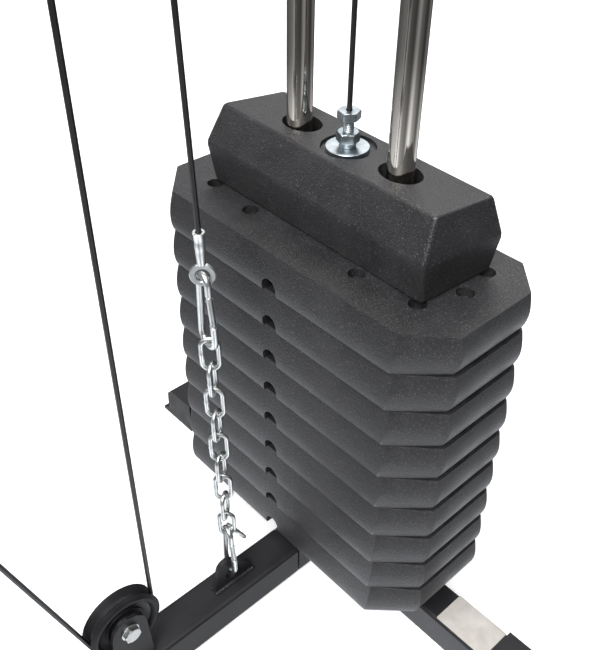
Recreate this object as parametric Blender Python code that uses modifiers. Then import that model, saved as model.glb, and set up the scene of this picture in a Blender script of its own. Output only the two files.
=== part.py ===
"""A home multi gym: weight stack, floating double pulley, lat bar, press arm and seat.

Run with: blender --background --python part.py

Everything is placed from the guide rods: x = 0 is the gym's middle plane, y = 0 the plane through
both guide rods, +Y runs to the rear, z = 0 is the floor. At the end every piece is parented to one
empty, which moves the whole gym so that its footprint is centred on the world's origin.
"""
import math

import bmesh
import bpy
from mathutils import Matrix, Vector

# Frame of square steel tube
TUBE = 0.045
TUBE_WALL = 0.002
TUBE_CORNER = 0.004
FOOT_WALL = 0.002
TUBE_MIDDLE_Z = FOOT_WALL + TUBE / 2
TUBE_TOP = FOOT_WALL + TUBE
GAP = 0.0003                    # left between pieces that touch
HALF_WIDTH = 0.319              # to the outer wall of a foot cap
CROSS_TUBE_END = 0.308
FRONT_TUBE_Y = -1.385
UPRIGHT_Y = -0.780
JOINT_Y = -0.074                # where the base tube meets the stub of the rear cross tube
JOINT_GAP = 0.0024
SPIGOT = TUBE - 2 * TUBE_WALL - 0.0008
BOOM_Z = 1.9975
BOOM_FRONT_Y = -1.190
BOOM_REAR_Y = 0.034
RODS_Y = 0.65075                 # the guide rods' plane in the world

# Weight stack
ROD_RADIUS = 0.0125
ROD_X = 0.065
PLATES = 9
PLATES_LIFTED = 5
PLATE_PITCH = 0.0431
PLATE_HALF_LENGTH = 0.193
PLATE_FRONT_Y = -0.0924
PLATE_REAR_Y = 0.068
PLATE_FRONT_CUT = (0.0393, 0.0350)
PLATE_REAR_CUT = (0.0320, 0.0320)
STACK_BOTTOM_Z = 0.0891
STACK_TOP_Z = STACK_BOTTOM_Z + PLATES * PLATE_PITCH
HEAD_HEIGHT = 0.0760
HEAD_SHIFT_Y = 0.0022           # the head sits loose on the rods: a little back and turned
HEAD_TURN = math.radians(-1.2)
HEAD_SKEW = 0.10                # its ends lean this much sideways per depth
WEIGHT_BORE = 0.0195
SELECTOR_RADIUS = 0.012
NOTCH_RADIUS = 0.0098
PIN_RADIUS = 0.0045

# Cables and pulleys; every pulley turns about +X in the plane x = 0
CABLE_RADIUS = 0.0024
GROOVE = 0.038                  # from a pulley's axle to the middle of the cable on it
PULLEY_RADIUS = 0.0415
PULLEY_HALF_WIDTH = 0.011
AXLE_RADIUS = 0.005
BRACKET_HALF_WIDTH = 0.0155       # over the two side plates of a pulley bracket
FRONT_FALL_Y = -0.2667          # the cable that comes up from the low pulley
BLOCK_Y = FRONT_FALL_Y + GROOVE
REAR_FALL_Y = BLOCK_Y + GROOVE
TOP_PULLEY_Z = 1.9235
LAT_PULLEY_Y = -1.122
BLOCK_LOW_Z = 1.150
BLOCK_HIGH_Z = 1.255
LOW_PULLEY = (FRONT_FALL_Y - GROOVE, 0.1110)
PRESS_RUN_LEAN = math.radians(16.87)    # the run from the low pulley leans forward by this
PRESS_PIVOT = (-0.860, 1.900)

# Anchor chain: flat ring eye, snap hook, links, snap hook, lug
EYE_CENTRE = (-0.1702, 0.4904)
EYE_HOLE = 0.0064
LUG_CENTRE_Y = -0.161
LUG_THICKNESS = 0.006
LUG_HOLE = 0.0100
LUG_HOLE_TOP_Z = 0.0752
CHAIN_FOOT_Z = 0.0800           # the chain's line comes down to this height over the lug
HOOK_WIRE = 0.0032
UPPER_HOOK_LENGTH = 0.084
LOWER_HOOK_LENGTH = 0.0762
UPPER_HOOK_TURN, LOWER_HOOK_TURN = -8, -12    # degrees about the chain's line
LINK_WIRE = 0.0024
LINK_PITCH = 0.0312
LINKS = 9

# Stations
SEAT_TUBE_Z = 0.360
SEAT_TOP_Z = 0.455
SLEEVE_Y = -1.3255
BACKREST_Y = -0.868
ROLLER_Z = 0.620
ROLLER_RADIUS = 0.045
LAT_BAR_Z = 1.775

COLOURS = {
    "frame_paint": ((0.040, 0.038, 0.042), 0.42, 0.0),
    "chrome": ((0.62, 0.61, 0.60), 0.16, 1.0),
    "zinc": ((0.66, 0.66, 0.64), 0.30, 1.0),
    "vinyl_weight": ((0.045, 0.044, 0.048), 0.62, 0.0),
    "black_plastic": ((0.022, 0.022, 0.024), 0.40, 0.0),
    "cable_sheath": ((0.015, 0.015, 0.016), 0.32, 0.0),
    "rubber": ((0.018, 0.018, 0.019), 0.75, 0.0),
    "foam": ((0.028, 0.028, 0.030), 0.85, 0.0),
    "upholstery": ((0.030, 0.030, 0.033), 0.50, 0.0),
    "sticker": ((0.72, 0.70, 0.62), 0.45, 0.0),
}

ALONG_X = Matrix(((0, 0, 1), (1, 0, 0), (0, 1, 0))).to_4x4()
ALONG_Y = Matrix(((1, 0, 0), (0, 0, -1), (0, 1, 0))).to_4x4()
ALONG_Z = Matrix.Identity(4)


# Scene and small helpers

def start_scene():
    """Empty the scene and make the collections for the parts and for the cutters."""
    for obj in list(bpy.data.objects):
        bpy.data.objects.remove(obj, do_unlink=True)
    made = []
    for name in ("multi_gym", "cutters"):
        collection = bpy.data.collections.new(name)
        bpy.context.scene.collection.children.link(collection)
        made.append(collection)
    return made


def finish_material(name):
    """A Principled material, made once for each finish."""
    material = bpy.data.materials.get(name)
    if material is None:
        colour, roughness, metallic = COLOURS[name]
        material = bpy.data.materials.new(name)
        material.use_nodes = True
        shader = material.node_tree.nodes["Principled BSDF"]
        shader.inputs["Base Color"].default_value = (*colour, 1.0)
        shader.inputs["Roughness"].default_value = roughness
        shader.inputs["Metallic"].default_value = metallic
        material.diffuse_color = (*colour, 1.0)
    return material


def add_object(name, data, finish):
    """Put new data in the parts collection with its material."""
    obj = bpy.data.objects.new(name, data)
    PARTS.objects.link(obj)
    if not data.materials:
        data.materials.append(finish_material(finish))
    return obj


def add_mesh(name, bm, finish, smooth=True):
    """Turn a bmesh into an object; edges over 35 degrees stay sharp."""
    mesh = bpy.data.meshes.new(name)
    bmesh.ops.recalc_face_normals(bm, faces=bm.faces)
    bm.to_mesh(mesh)
    bm.free()
    if smooth:
        mesh.shade_smooth()
        mesh.set_sharp_from_angle(angle=math.radians(35))
    return add_object(name, mesh, finish)


def as_mesh(obj):
    """Replace a curve or a modified object by its evaluated, welded mesh, with the origin kept."""
    bpy.context.view_layer.update()
    evaluated = obj.evaluated_get(bpy.context.evaluated_depsgraph_get())
    mesh = bpy.data.meshes.new_from_object(evaluated)
    bm = bmesh.new()
    bm.from_mesh(mesh)
    bmesh.ops.remove_doubles(bm, verts=bm.verts, dist=0.00001)
    bmesh.ops.recalc_face_normals(bm, faces=bm.faces)
    bm.to_mesh(mesh)
    bm.free()
    name, place = obj.name, obj.matrix_world.copy()
    bpy.data.objects.remove(obj, do_unlink=True)
    mesh.name = name
    mesh.shade_smooth()
    mesh.set_sharp_from_angle(angle=math.radians(35))
    new = bpy.data.objects.new(name, mesh)
    PARTS.objects.link(new)
    new.matrix_world = place
    return new


def boolean(obj, tool, operation):
    """Cut obj with tool, or join tool to it, through a modifier; the tool becomes a guide."""
    if tool.name in PARTS.objects:
        PARTS.objects.unlink(tool)
        CUTTERS.objects.link(tool)
    tool.hide_render = True
    tool.display_type = "WIRE"
    modifier = obj.modifiers.new(tool.name, "BOOLEAN")
    modifier.operation = operation
    modifier.solver = "EXACT"
    modifier.object = tool


def cut(obj, *tools):
    for tool in tools:
        boolean(obj, tool, "DIFFERENCE")
    return obj


def weld_on(obj, *pieces):
    for piece in pieces:
        boolean(obj, piece, "UNION")
    return obj


def merged(name, objects):
    """One object from several meshes that don't touch, such as a group of like fasteners."""
    bm = bmesh.new()
    material = objects[0].data.materials[0]
    for obj in objects:
        mesh = obj.data.copy()
        mesh.transform(obj.matrix_world)
        bm.from_mesh(mesh)
        bpy.data.meshes.remove(mesh)
        bpy.data.objects.remove(obj, do_unlink=True)
    return add_mesh(name, bm, material.name)


def settled(obj):
    """Read an object's matrix after its location or rotation has been set."""
    bpy.context.view_layer.update()
    return obj


# Shapes

def box(name, low, high, finish, bevel=0.0, segments=1):
    """A box between two corners, with all its edges bevelled."""
    low, high = Vector(low), Vector(high)
    bm = bmesh.new()
    size = Matrix.Diagonal((*(high - low), 1.0))
    bmesh.ops.create_cube(bm, size=1.0, matrix=Matrix.Translation((low + high) / 2) @ size)
    if bevel:
        bmesh.ops.bevel(bm, geom=bm.edges, offset=bevel, segments=segments, affect="EDGES",
                        profile=0.5)
    return add_mesh(name, bm, finish)


def cylinder(name, radius, low, high, axis, centre, finish, sides=16):
    """A cylinder from low to high along an axis matrix, about the 2D centre in that plane."""
    bm = bmesh.new()
    bmesh.ops.create_cone(bm, cap_ends=True, segments=sides, radius1=radius, radius2=radius,
                          depth=high - low,
                          matrix=Matrix.Translation((0, 0, (low + high) / 2)))
    bmesh.ops.rotate(bm, verts=bm.verts, matrix=axis.to_3x3())
    bmesh.ops.translate(bm, verts=bm.verts, vec=centre)
    return add_mesh(name, bm, finish)


def circle(radius, steps, centre=(0.0, 0.0)):
    return [(centre[0] + radius * math.cos(math.tau * i / steps),
             centre[1] + radius * math.sin(math.tau * i / steps)) for i in range(steps)]


def rounded_rectangle(width, height, radius, steps=2, centre=(0.0, 0.0)):
    """Corners as quarter circles of steps + 1 points."""
    points = []
    for quarter, (sx, sy) in enumerate(((1, 1), (-1, 1), (-1, -1), (1, -1))):
        cx = centre[0] + sx * (width / 2 - radius)
        cy = centre[1] + sy * (height / 2 - radius)
        for i in range(steps + 1):
            angle = math.pi / 2 * (quarter + i / steps)
            points.append((cx + radius * math.cos(angle), cy + radius * math.sin(angle)))
    return points


def flat_piece(name, loops, thickness, axis, centre, finish):
    """A flat plate or an extruded section: outlines with holes, filled on both sides."""
    data = bpy.data.curves.new(name, "CURVE")
    data.dimensions = "2D"
    data.fill_mode = "BOTH"
    data.extrude = thickness / 2
    for loop in loops:
        spline = data.splines.new("POLY")
        spline.points.add(len(loop) - 1)
        for point, (u, v) in zip(spline.points, loop):
            point.co = (u, v, 0.0, 1.0)
        spline.use_cyclic_u = True
    obj = add_object(name, data, finish)
    obj.matrix_world = Matrix.Translation(centre) @ axis
    return as_mesh(obj)


def square_tube(name, low, high, axis, centre, finish="frame_paint", size=TUBE, wall=TUBE_WALL):
    """Hollow square section from low to high along the axis; centre is a point on its middle line."""
    outer = rounded_rectangle(size, size, TUBE_CORNER)
    inner = rounded_rectangle(size - 2 * wall, size - 2 * wall, TUBE_CORNER - wall, 1)
    middle = Vector(centre) + axis.to_3x3() @ Vector((0, 0, (low + high) / 2))
    return flat_piece(name, [outer, inner], high - low, axis, middle, finish)


def route_with_bends(corners, bend_radius, steps=4):
    """Points of a bent tube: each inner corner of the list becomes an arc."""
    corners = [Vector(corner) for corner in corners]
    points = [corners[0]]
    for before, corner, after in zip(corners, corners[1:], corners[2:]):
        a, b = (before - corner).normalized(), (after - corner).normalized()
        half = a.angle(b) / 2
        reach = bend_radius / math.tan(half)
        centre = corner + (a + b).normalized() * bend_radius / math.sin(half)
        arm = corner + a * reach - centre
        axis = arm.cross(corner + b * reach - centre)
        for i in range(steps + 1):
            turn = Matrix.Rotation((math.pi - 2 * half) * i / steps, 3, axis)
            points.append(centre + turn @ arm)
    points.append(corners[-1])
    return points


def round_wire(name, points, radius, finish, closed=False, resolution=1, mesh=True):
    """A round bar, tube or cable along the points, with its ends filled."""
    data = bpy.data.curves.new(name, "CURVE")
    data.dimensions = "3D"
    data.bevel_depth = radius
    data.bevel_resolution = resolution
    data.use_fill_caps = True
    spline = data.splines.new("POLY")
    spline.points.add(len(points) - 1)
    for target, point in zip(spline.points, points):
        target.co = (*point, 1.0)
    spline.use_cyclic_u = closed
    obj = add_object(name, data, finish)
    return as_mesh(obj) if mesh else obj


def turned(name, profile, finish, steps=16, closed=False, place=ALONG_Z):
    """A profile of (radius, height) turned about the axis; it runs down the outer side."""
    mesh = bpy.data.meshes.new(name)
    bm = bmesh.new()
    verts = [bm.verts.new((radius, 0.0, height)) for radius, height in profile]
    pairs = list(zip(verts, verts[1:]))
    if closed:
        pairs.append((verts[-1], verts[0]))
    for pair in pairs:
        bm.edges.new(pair)
    bm.to_mesh(mesh)
    bm.free()
    obj = add_object(name, mesh, finish)
    screw = obj.modifiers.new("turn", "SCREW")
    screw.steps = steps
    screw.render_steps = steps
    screw.use_merge_vertices = True
    screw.merge_threshold = 0.00001
    obj.matrix_world = place
    return as_mesh(obj)


def arc(centre, radius, start, end, steps):
    """Points in the plane x = 0, angles in degrees from +Y towards +Z."""
    points = []
    for i in range(steps + 1):
        angle = math.radians(start + (end - start) * i / steps)
        points.append(Vector((0.0, centre[0] + radius * math.cos(angle),
                              centre[1] + radius * math.sin(angle))))
    return points


# Base and upright

def rear_cross_tube():
    """Carries the stack; the guide rods stand in two holes, and a stub with a spigot takes the
    base tube."""
    tube = square_tube("rear_cross_tube", -CROSS_TUBE_END, CROSS_TUBE_END, ALONG_X,
                       (0, 0, TUBE_MIDDLE_Z))
    stub_back = -TUBE / 2 + 0.001
    middle = (0, 0, TUBE_MIDDLE_Z)
    stub = square_tube("stub", -stub_back, -(JOINT_Y + JOINT_GAP / 2), ALONG_Y, middle)
    collar = square_tube("collar", 0.045, 0.066, ALONG_Y, middle, size=SPIGOT + 0.0018, wall=0.0025)
    spigot = square_tube("spigot", 0.040, -JOINT_Y + 0.060, ALONG_Y, middle, size=SPIGOT)
    holes = [cylinder(f"rod_hole_{side}", ROD_RADIUS + 0.0004, 0.030, 0.060, ALONG_Z,
                      (side * ROD_X, 0, 0), "frame_paint", 20) for side in (-1, 1)]
    return cut(weld_on(tube, stub, collar, spigot), merged("rod_holes", holes))


def base_tube():
    """Slides over the spigot and runs to the front cross tube; that tube, the low pulley's bracket
    and the chain's lug are welded on."""
    tube = square_tube("base_tube", -(JOINT_Y - JOINT_GAP / 2), -(FRONT_TUBE_Y + TUBE / 2 - 0.001), ALONG_Y,
                       (0, 0, TUBE_MIDDLE_Z))
    cross = square_tube("front_cross_tube", -CROSS_TUBE_END, CROSS_TUBE_END, ALONG_X,
                        (0, FRONT_TUBE_Y, TUBE_MIDDLE_Z))
    return weld_on(tube, cross, anchor_lug(), *low_pulley_bracket())


def foot_caps():
    """Four like sleeve feet: a sloping outer top edge, a lip on the floor and a pocket."""
    outer = HALF_WIDTH
    top = TUBE_TOP + 0.0025
    profile = [(0.265, 0.0), (0.333, 0.0), (0.333, 0.004), (outer + 0.001, 0.010),
               (outer, top - 0.009), (outer - 0.008, top), (0.265, top)]
    sleeve = flat_piece("sleeve", [profile], TUBE + 0.006, ALONG_Y, (0, 0, 0), "black_plastic")
    half = TUBE / 2 + GAP
    pocket = box("pocket", (0.200, -half, FOOT_WALL - GAP),
                 (CROSS_TUBE_END + GAP, half, TUBE_TOP + GAP), "black_plastic")
    cap = as_mesh(cut(sleeve, pocket))
    bpy.data.objects.remove(pocket, do_unlink=True)
    mesh = cap.data
    bpy.data.objects.remove(cap, do_unlink=True)
    for end, y in (("rear", 0.0), ("front", FRONT_TUBE_Y)):
        for side, turn in (("right", 0.0), ("left", math.pi)):
            foot = add_object(f"{end}_{side}_foot_cap", mesh, "black_plastic")
            foot.matrix_world = Matrix.Translation((0, y, 0)) @ Matrix.Rotation(turn, 4, "Z") @ ALONG_Y


def main_upright():
    """Square tube with foot and head plates, the press pulley's slot and axle, the ears of the
    press arm's pivot, and the frame of the backrest."""
    foot = TUBE_TOP + GAP
    top = BOOM_Z - TUBE / 2 - GAP
    upright = square_tube("main_upright", foot + 0.003, top - 0.003, ALONG_Z, (0, UPRIGHT_Y, 0))
    foot_plate = box("foot_plate", (-0.0225, UPRIGHT_Y - 0.058, foot),
                     (0.0225, UPRIGHT_Y + 0.058, foot + 0.005), "frame_paint", 0.001)
    head_plate = box("head_plate", (-0.0225, UPRIGHT_Y - 0.058, top - 0.005),
                     (0.0225, UPRIGHT_Y + 0.058, top), "frame_paint", 0.001)
    pulley_z = press_pulley()[1]
    half_slot = PULLEY_HALF_WIDTH + 0.0012
    slot = box("pulley_slot", (-half_slot, UPRIGHT_Y - 0.04, pulley_z - 0.056),
               (half_slot, UPRIGHT_Y + 0.04, pulley_z + 0.056), "frame_paint")
    cable_z = TOP_PULLEY_Z + GROOVE
    window = box("cable_window", (-0.010, UPRIGHT_Y - 0.08, cable_z - 0.010),
                 (0.010, UPRIGHT_Y + 0.08, cable_z + 0.006), "frame_paint")
    ears = [pivot_ear(side) for side in (-1, 1)]
    cut(weld_on(upright, foot_plate, head_plate, *ears), slot, window)
    return weld_on(upright, axle_bolt("press_pulley_axle", press_pulley(), TUBE / 2), *backrest_frame())


def pivot_ear(side):
    """Plate at the side of the upright that carries the press arm's axle in front of it."""
    y, z = PRESS_PIVOT
    back = UPRIGHT_Y + 0.010
    outline = [(back, z - 0.045), (back, z + 0.030), (y, z + 0.022)]
    outline += [(y + 0.022 * math.cos(a), z + 0.022 * math.sin(a))
                for a in (math.radians(115 + 26 * i) for i in range(6))]
    hole = circle(0.0083, 12, (y, z))
    middle = side * (TUBE / 2 + 0.0015)
    return flat_piece(f"pivot_ear_{side}", [outline, hole], 0.004, ALONG_X, (middle, 0, 0),
                      "frame_paint")


def top_boom():
    """Tube over the whole gym with the brackets and axles of the four top pulleys, and the plate
    that the guide rods end under."""
    boom = square_tube("top_boom", -BOOM_REAR_Y, -BOOM_FRONT_Y, ALONG_Y, (0, 0, BOOM_Z))
    pieces = []
    for number, y in enumerate(top_pulley_places()):
        pieces += [hanging_plate(y, side) for side in (-1, 1)]
        pieces.append(axle_bolt(f"top_axle_{number}", (y, TOP_PULLEY_Z), BRACKET_HALF_WIDTH))
    under = BOOM_Z - TUBE / 2
    rod_plate = box("rod_plate", (-0.088, -0.026, under - 0.005), (0.088, 0.026, under + 0.0006),
                    "frame_paint", 0.001)
    return weld_on(boom, *pieces, rod_plate)


def hanging_plate(y, side):
    """Side plate of a pulley bracket, rounded about the axle and welded to the boom."""
    top = BOOM_Z - TUBE / 2 + 0.001
    low = TOP_PULLEY_Z - BOOM_Z
    outline = [(y + 0.020, top - BOOM_Z), (y - 0.020, top - BOOM_Z)]
    outline += [(y + 0.020 * math.cos(a), low + 0.020 * math.sin(a))
                for a in (math.radians(180 + 36 * i) for i in range(6))]
    middle = side * (BRACKET_HALF_WIDTH - 0.002)
    return flat_piece(f"hanging_plate_{y:.2f}_{side}", [outline], 0.004, ALONG_X,
                      (middle, 0, BOOM_Z), "frame_paint")


# Weight stack

def plate_outline(half_length, front, rear, front_cut, rear_cut):
    """Octagon of a weight: long front and rear faces, cut corners, short straight ends."""
    return [(half_length, front + front_cut[1]), (half_length, rear - rear_cut[1]),
            (half_length - rear_cut[0], rear), (-half_length + rear_cut[0], rear),
            (-half_length, rear - rear_cut[1]), (-half_length, front + front_cut[1]),
            (-half_length + front_cut[0], front), (half_length - front_cut[0], front)]


def stacked_loft(name, rings, finish):
    """Skin through rings of equal point counts, from the lowest up, with flat caps."""
    bm = bmesh.new()
    loops = [[bm.verts.new(point) for point in ring] for ring in rings]
    count = len(loops[0])
    for lower, upper in zip(loops, loops[1:]):
        for i in range(count):
            j = (i + 1) % count
            bm.faces.new((lower[i], lower[j], upper[j], upper[i]))
    bm.faces.new(list(reversed(loops[0])))
    bm.faces.new(loops[-1])
    return add_mesh(name, bm, finish)


def weight_plate_mesh():
    """Crisp top edge; the long faces swell downwards, the ends swell and turn in at the bottom."""
    height = PLATE_PITCH - GAP
    # Height as a share of the plate, and how far the long faces and the ends stand out there
    section = [(0.0, 0.0031, -0.0039), (0.06, 0.0040, -0.0022), (0.25, 0.0048, 0.0008),
               (0.50, 0.0044, 0.0026), (0.78, 0.0026, 0.0028), (1.0, 0.0, 0.0)]
    rings = []
    for share, face, end in section:
        cuts = [(cut_x + 0.4 * end, cut_y + face)
                for cut_x, cut_y in (PLATE_FRONT_CUT, PLATE_REAR_CUT)]
        outline = plate_outline(PLATE_HALF_LENGTH + end, PLATE_FRONT_Y - face,
                                PLATE_REAR_Y + face, *cuts)
        rings.append([(x, y, share * height) for x, y in outline])
    body = stacked_loft("weight_blank", rings, "vinyl_weight")
    bores = [cylinder("bore", WEIGHT_BORE, -0.01, 0.06, ALONG_Z, (side * ROD_X, 0, 0),
                      "vinyl_weight", 14) for side in (-1, 1)]
    bores.append(cylinder("bore", SELECTOR_RADIUS + 0.002, -0.01, 0.06, ALONG_Z, (0, 0, 0),
                          "vinyl_weight", 10))
    channel = cylinder("channel", NOTCH_RADIUS, -0.12, 0.12, ALONG_Y, (0, 0, 0), "vinyl_weight", 12)
    holes = merged("weight_bores", bores)
    mesh = as_mesh(cut(body, holes, channel)).data
    for tool in (holes, channel):
        bpy.data.objects.remove(tool, do_unlink=True)
    return mesh


def weight_plates():
    """Nine like plates that share one mesh, counted from the top."""
    mesh = weight_plate_mesh()
    bpy.data.objects.remove(bpy.data.objects["weight_blank"], do_unlink=True)
    for number in range(1, PLATES + 1):
        plate = add_object(f"weight_plate_{number}", mesh, "vinyl_weight")
        plate.location.z = STACK_TOP_Z - number * PLATE_PITCH


def weight_head():
    """Top weight: a long hexagonal bar section with soft edges, bored for rods and bolt."""
    # Height, half length and half depth of each ring
    section = [(0.0, 0.1390, 0.0415), (0.003, 0.1412, 0.0437), (0.034, 0.1478, 0.0463),
               (0.040, 0.1478, 0.0463), (0.0725, 0.1446, 0.0340), (HEAD_HEIGHT, 0.1425, 0.0318)]
    place = Matrix.Translation((0, HEAD_SHIFT_Y, 0)) @ Matrix.Rotation(HEAD_TURN, 4, "Z")
    rings = []
    for height, length, depth in section:
        outline = rounded_rectangle(2 * length, 2 * depth, 0.006, 2, (-0.001, 0.0))
        rings.append([place @ Vector((x + HEAD_SKEW * y, y, STACK_TOP_Z + GAP + height))
                      for x, y in outline])
    head = stacked_loft("weight_head", rings, "vinyl_weight")
    low, high = STACK_TOP_Z - 0.01, STACK_TOP_Z + HEAD_HEIGHT + 0.01
    tools = [cylinder("head_bore", WEIGHT_BORE, low, high, ALONG_Z,
                      place @ Vector((side * ROD_X, 0, 0)), "vinyl_weight", 20) for side in (-1, 1)]
    tools.append(cylinder("head_bore", 0.0090, low, high, ALONG_Z, (0, 0, 0), "vinyl_weight", 12))
    seat = cylinder("washer_seat", 0.0262, STACK_TOP_Z + HEAD_HEIGHT - 0.003, high, ALONG_Z,
                    place.translation, "vinyl_weight", 20)
    return cut(head, merged("head_bores", tools), seat)


def stack_bolt():
    """Hollow bolt that holds the cable: shank, washer, collar, lock nut, neck and hexagon."""
    base = STACK_TOP_Z + HEAD_HEIGHT
    # Radius and height above the head's top, down the outer side
    profile = [(0.0, 0.0362), (0.0092, 0.0362), (0.0102, 0.0354), (0.0102, 0.0284),
               (0.0057, 0.0278), (0.0057, 0.0160), (0.0102, 0.0156), (0.0102, 0.0064),
               (0.0078, 0.0060), (0.0078, 0.0014), (0.0205, 0.0014), (0.0205, -0.0020),
               (0.0060, -0.0020), (0.0060, -0.1000), (0.0, -0.1000)]
    return turned("stack_bolt", [(r, base + z) for r, z in profile], "zinc", 14)


def selector_rod():
    """Steel rod under the head with one cross hole for each plate."""
    top = STACK_TOP_Z - GAP
    low = STACK_BOTTOM_Z + 0.006
    socket = 0.0066
    depth = top - 0.030
    profile = [(socket, top), (SELECTOR_RADIUS, top), (SELECTOR_RADIUS, low + 0.004),
               (SELECTOR_RADIUS - 0.004, low), (0.0, low)]
    rod = turned("selector_rod", [(0.0, depth), (socket, depth), *profile], "chrome", 12)
    holes = [cylinder("pin_hole", PIN_RADIUS + 0.0012, -0.02, 0.02, ALONG_Y,
                      (0, 0, pin_height(number)), "chrome", 6) for number in range(1, PLATES)]
    return cut(rod, merged("pin_holes", holes))


def pin_height(number):
    """Middle of the selector pin in the channel under plate number."""
    return STACK_TOP_Z - number * PLATE_PITCH + GAP + PIN_RADIUS


def selector_pin():
    """Pin pushed in from the rear under plate 5, with a moulded knob; its origin is on its axis."""
    tip = -0.026
    knob = PLATE_REAR_Y + 0.008
    profile = [(0.0, 0.0), (PIN_RADIUS - 0.002, 0.0), (PIN_RADIUS, 0.003), (PIN_RADIUS, knob - tip),
               (0.011, knob - tip), (0.0135, knob - tip + 0.003), (0.0125, knob - tip + 0.018),
               (0.0150, knob - tip + 0.026), (0.0110, knob - tip + 0.032), (0.0, knob - tip + 0.033)]
    # The profile runs up the outer side here, so it is turned end for end
    profile = [(r, -z) for r, z in profile]
    turn = Matrix.Rotation(math.radians(90), 4, "X")
    place = Matrix.Translation((0, tip, pin_height(PLATES_LIFTED))) @ turn
    return turned("selector_pin", profile, "black_plastic", 12, place=place)


def guide_rods():
    """Two chromed tubes from inside the cross tube to the plate under the boom."""
    low = FOOT_WALL + TUBE_WALL + GAP
    high = BOOM_Z - TUBE / 2 - 0.005 - GAP
    for side, name in ((-1, "left_guide_rod"), (1, "right_guide_rod")):
        flat_piece(name, [circle(ROD_RADIUS, 20), circle(ROD_RADIUS - 0.002, 12)], high - low,
                   ALONG_Z, (side * ROD_X, 0, (low + high) / 2), "chrome")


def rod_bumpers():
    """Rubber buffers round the rods, with two grooves, that the lowest plate rests on."""
    bore = ROD_RADIUS + 0.0008
    low, high = TUBE_TOP + GAP, STACK_BOTTOM_Z - GAP
    middle = (low + high) / 2
    profile = [(bore, high), (0.0260, high), (0.0275, high - 0.002), (0.0275, middle + 0.006),
               (0.0245, middle + 0.003), (0.0245, middle - 0.003), (0.0275, middle - 0.006),
               (0.0275, low + 0.002), (0.0260, low), (bore, low)]
    for side, name in ((-1, "left_rod_bumper"), (1, "right_rod_bumper")):
        turned(name, profile, "rubber", 14, closed=True, place=Matrix.Translation((side * ROD_X, 0, 0)))


# Pulleys

def press_pulley():
    """Centre of the pulley in the upright: the run from the low pulley is tangent to both."""
    lean = PRESS_RUN_LEAN
    start_y = LOW_PULLEY[0] - GROOVE * math.cos(lean)
    start_z = LOW_PULLEY[1] - GROOVE * math.sin(lean)
    end_y = UPRIGHT_Y + GROOVE * math.cos(lean)
    end_z = start_z + (start_y - end_y) / math.tan(lean)
    return UPRIGHT_Y, end_z - GROOVE * math.sin(lean)


def top_pulley_places():
    """The four axles under the boom, from the lat bar back to the stack."""
    return (LAT_PULLEY_Y, FRONT_FALL_Y - GROOVE, REAR_FALL_Y + GROOVE, -GROOVE)


def pulley_places():
    names = ("lat_pulley", "front_top_pulley", "middle_top_pulley", "stack_top_pulley")
    places = {name: (y, TOP_PULLEY_Z) for name, y in zip(names, top_pulley_places())}
    places["block_upper_pulley"] = (BLOCK_Y, BLOCK_HIGH_Z)
    places["block_lower_pulley"] = (BLOCK_Y, BLOCK_LOW_Z)
    places["low_pulley"] = LOW_PULLEY
    places["press_pulley"] = press_pulley()
    return places


def pulleys():
    """Moulded sheaves with a sunk web; each object's origin is on its axle."""
    bore = AXLE_RADIUS + 0.0003
    side = PULLEY_HALF_WIDTH
    floor = GROOVE - CABLE_RADIUS - 0.0003
    profile = [(bore, side), (0.0120, side), (0.0150, side - 0.004), (0.0310, side - 0.004),
               (PULLEY_RADIUS - 0.0045, side), (PULLEY_RADIUS, 0.0075), (floor, 0.0030)]
    profile += [(radius, -height) for radius, height in reversed(profile)]
    for name, (y, z) in pulley_places().items():
        steps = 20 if name == "low_pulley" else 12
        place = Matrix.Translation((0, y, z)) @ Matrix.Rotation(math.pi / 2, 4, "Y")
        turned(name, profile, "black_plastic", steps, closed=True, place=place)


def axle_bolt(name, place, half_grip):
    """Pulley axle along X with a head at both sides of a bracket of the given half width."""
    y, z = place
    profile = [(0.0, half_grip + 0.0060), (0.0085, half_grip + 0.0060),
               (0.0085, half_grip - 0.0010), (AXLE_RADIUS, half_grip - 0.0010)]
    profile += [(radius, -height) for radius, height in reversed(profile)]
    turn = Matrix.Rotation(math.pi / 2, 4, "Y") @ Matrix.Rotation(0.2, 4, "Z")
    return turned(name, profile, "zinc", 8, place=Matrix.Translation((0, y, z)) @ turn)


def low_pulley_bracket():
    """Two round-topped plates with the axle between them, welded on the base tube."""
    y, z = LOW_PULLEY
    base = TUBE_TOP - 0.001
    outline = [(y - 0.024, base - z), (y + 0.024, base - z)]
    outline += [(y + 0.021 * math.cos(a), 0.021 * math.sin(a))
                for a in (math.radians(30 * i) for i in range(7))]
    plates = [flat_piece(f"low_plate_{side}", [outline], 0.004, ALONG_X,
                         (side * (BRACKET_HALF_WIDTH - 0.002), 0, z), "frame_paint") for side in (-1, 1)]
    return [*plates, axle_bolt("low_axle", LOW_PULLEY, BRACKET_HALF_WIDTH)]


def floating_block():
    """Two long side plates riveted to the two axles, galvanised, hung on the high cable."""
    middle_z = (BLOCK_HIGH_Z + BLOCK_LOW_Z) / 2
    reach = (BLOCK_HIGH_Z - BLOCK_LOW_Z) / 2
    radius = 0.021
    outline = [(radius * math.cos(a), reach + radius * math.sin(a))
               for a in (math.radians(30 * i) for i in range(7))]
    outline += [(-u, -v) for u, v in outline]
    names = ("floating_block", "block_far_plate")
    near, far = [flat_piece(name, [outline], 0.004, ALONG_X,
                            (side * (BRACKET_HALF_WIDTH - 0.002), BLOCK_Y, middle_z), "zinc")
                 for side, name in zip((1, -1), names)]
    axles = [axle_bolt(f"block_axle_{i}", (BLOCK_Y, z), BRACKET_HALF_WIDTH)
             for i, z in enumerate((BLOCK_LOW_Z, BLOCK_HIGH_Z))]
    return weld_on(near, far, *axles)


# Cables

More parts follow.
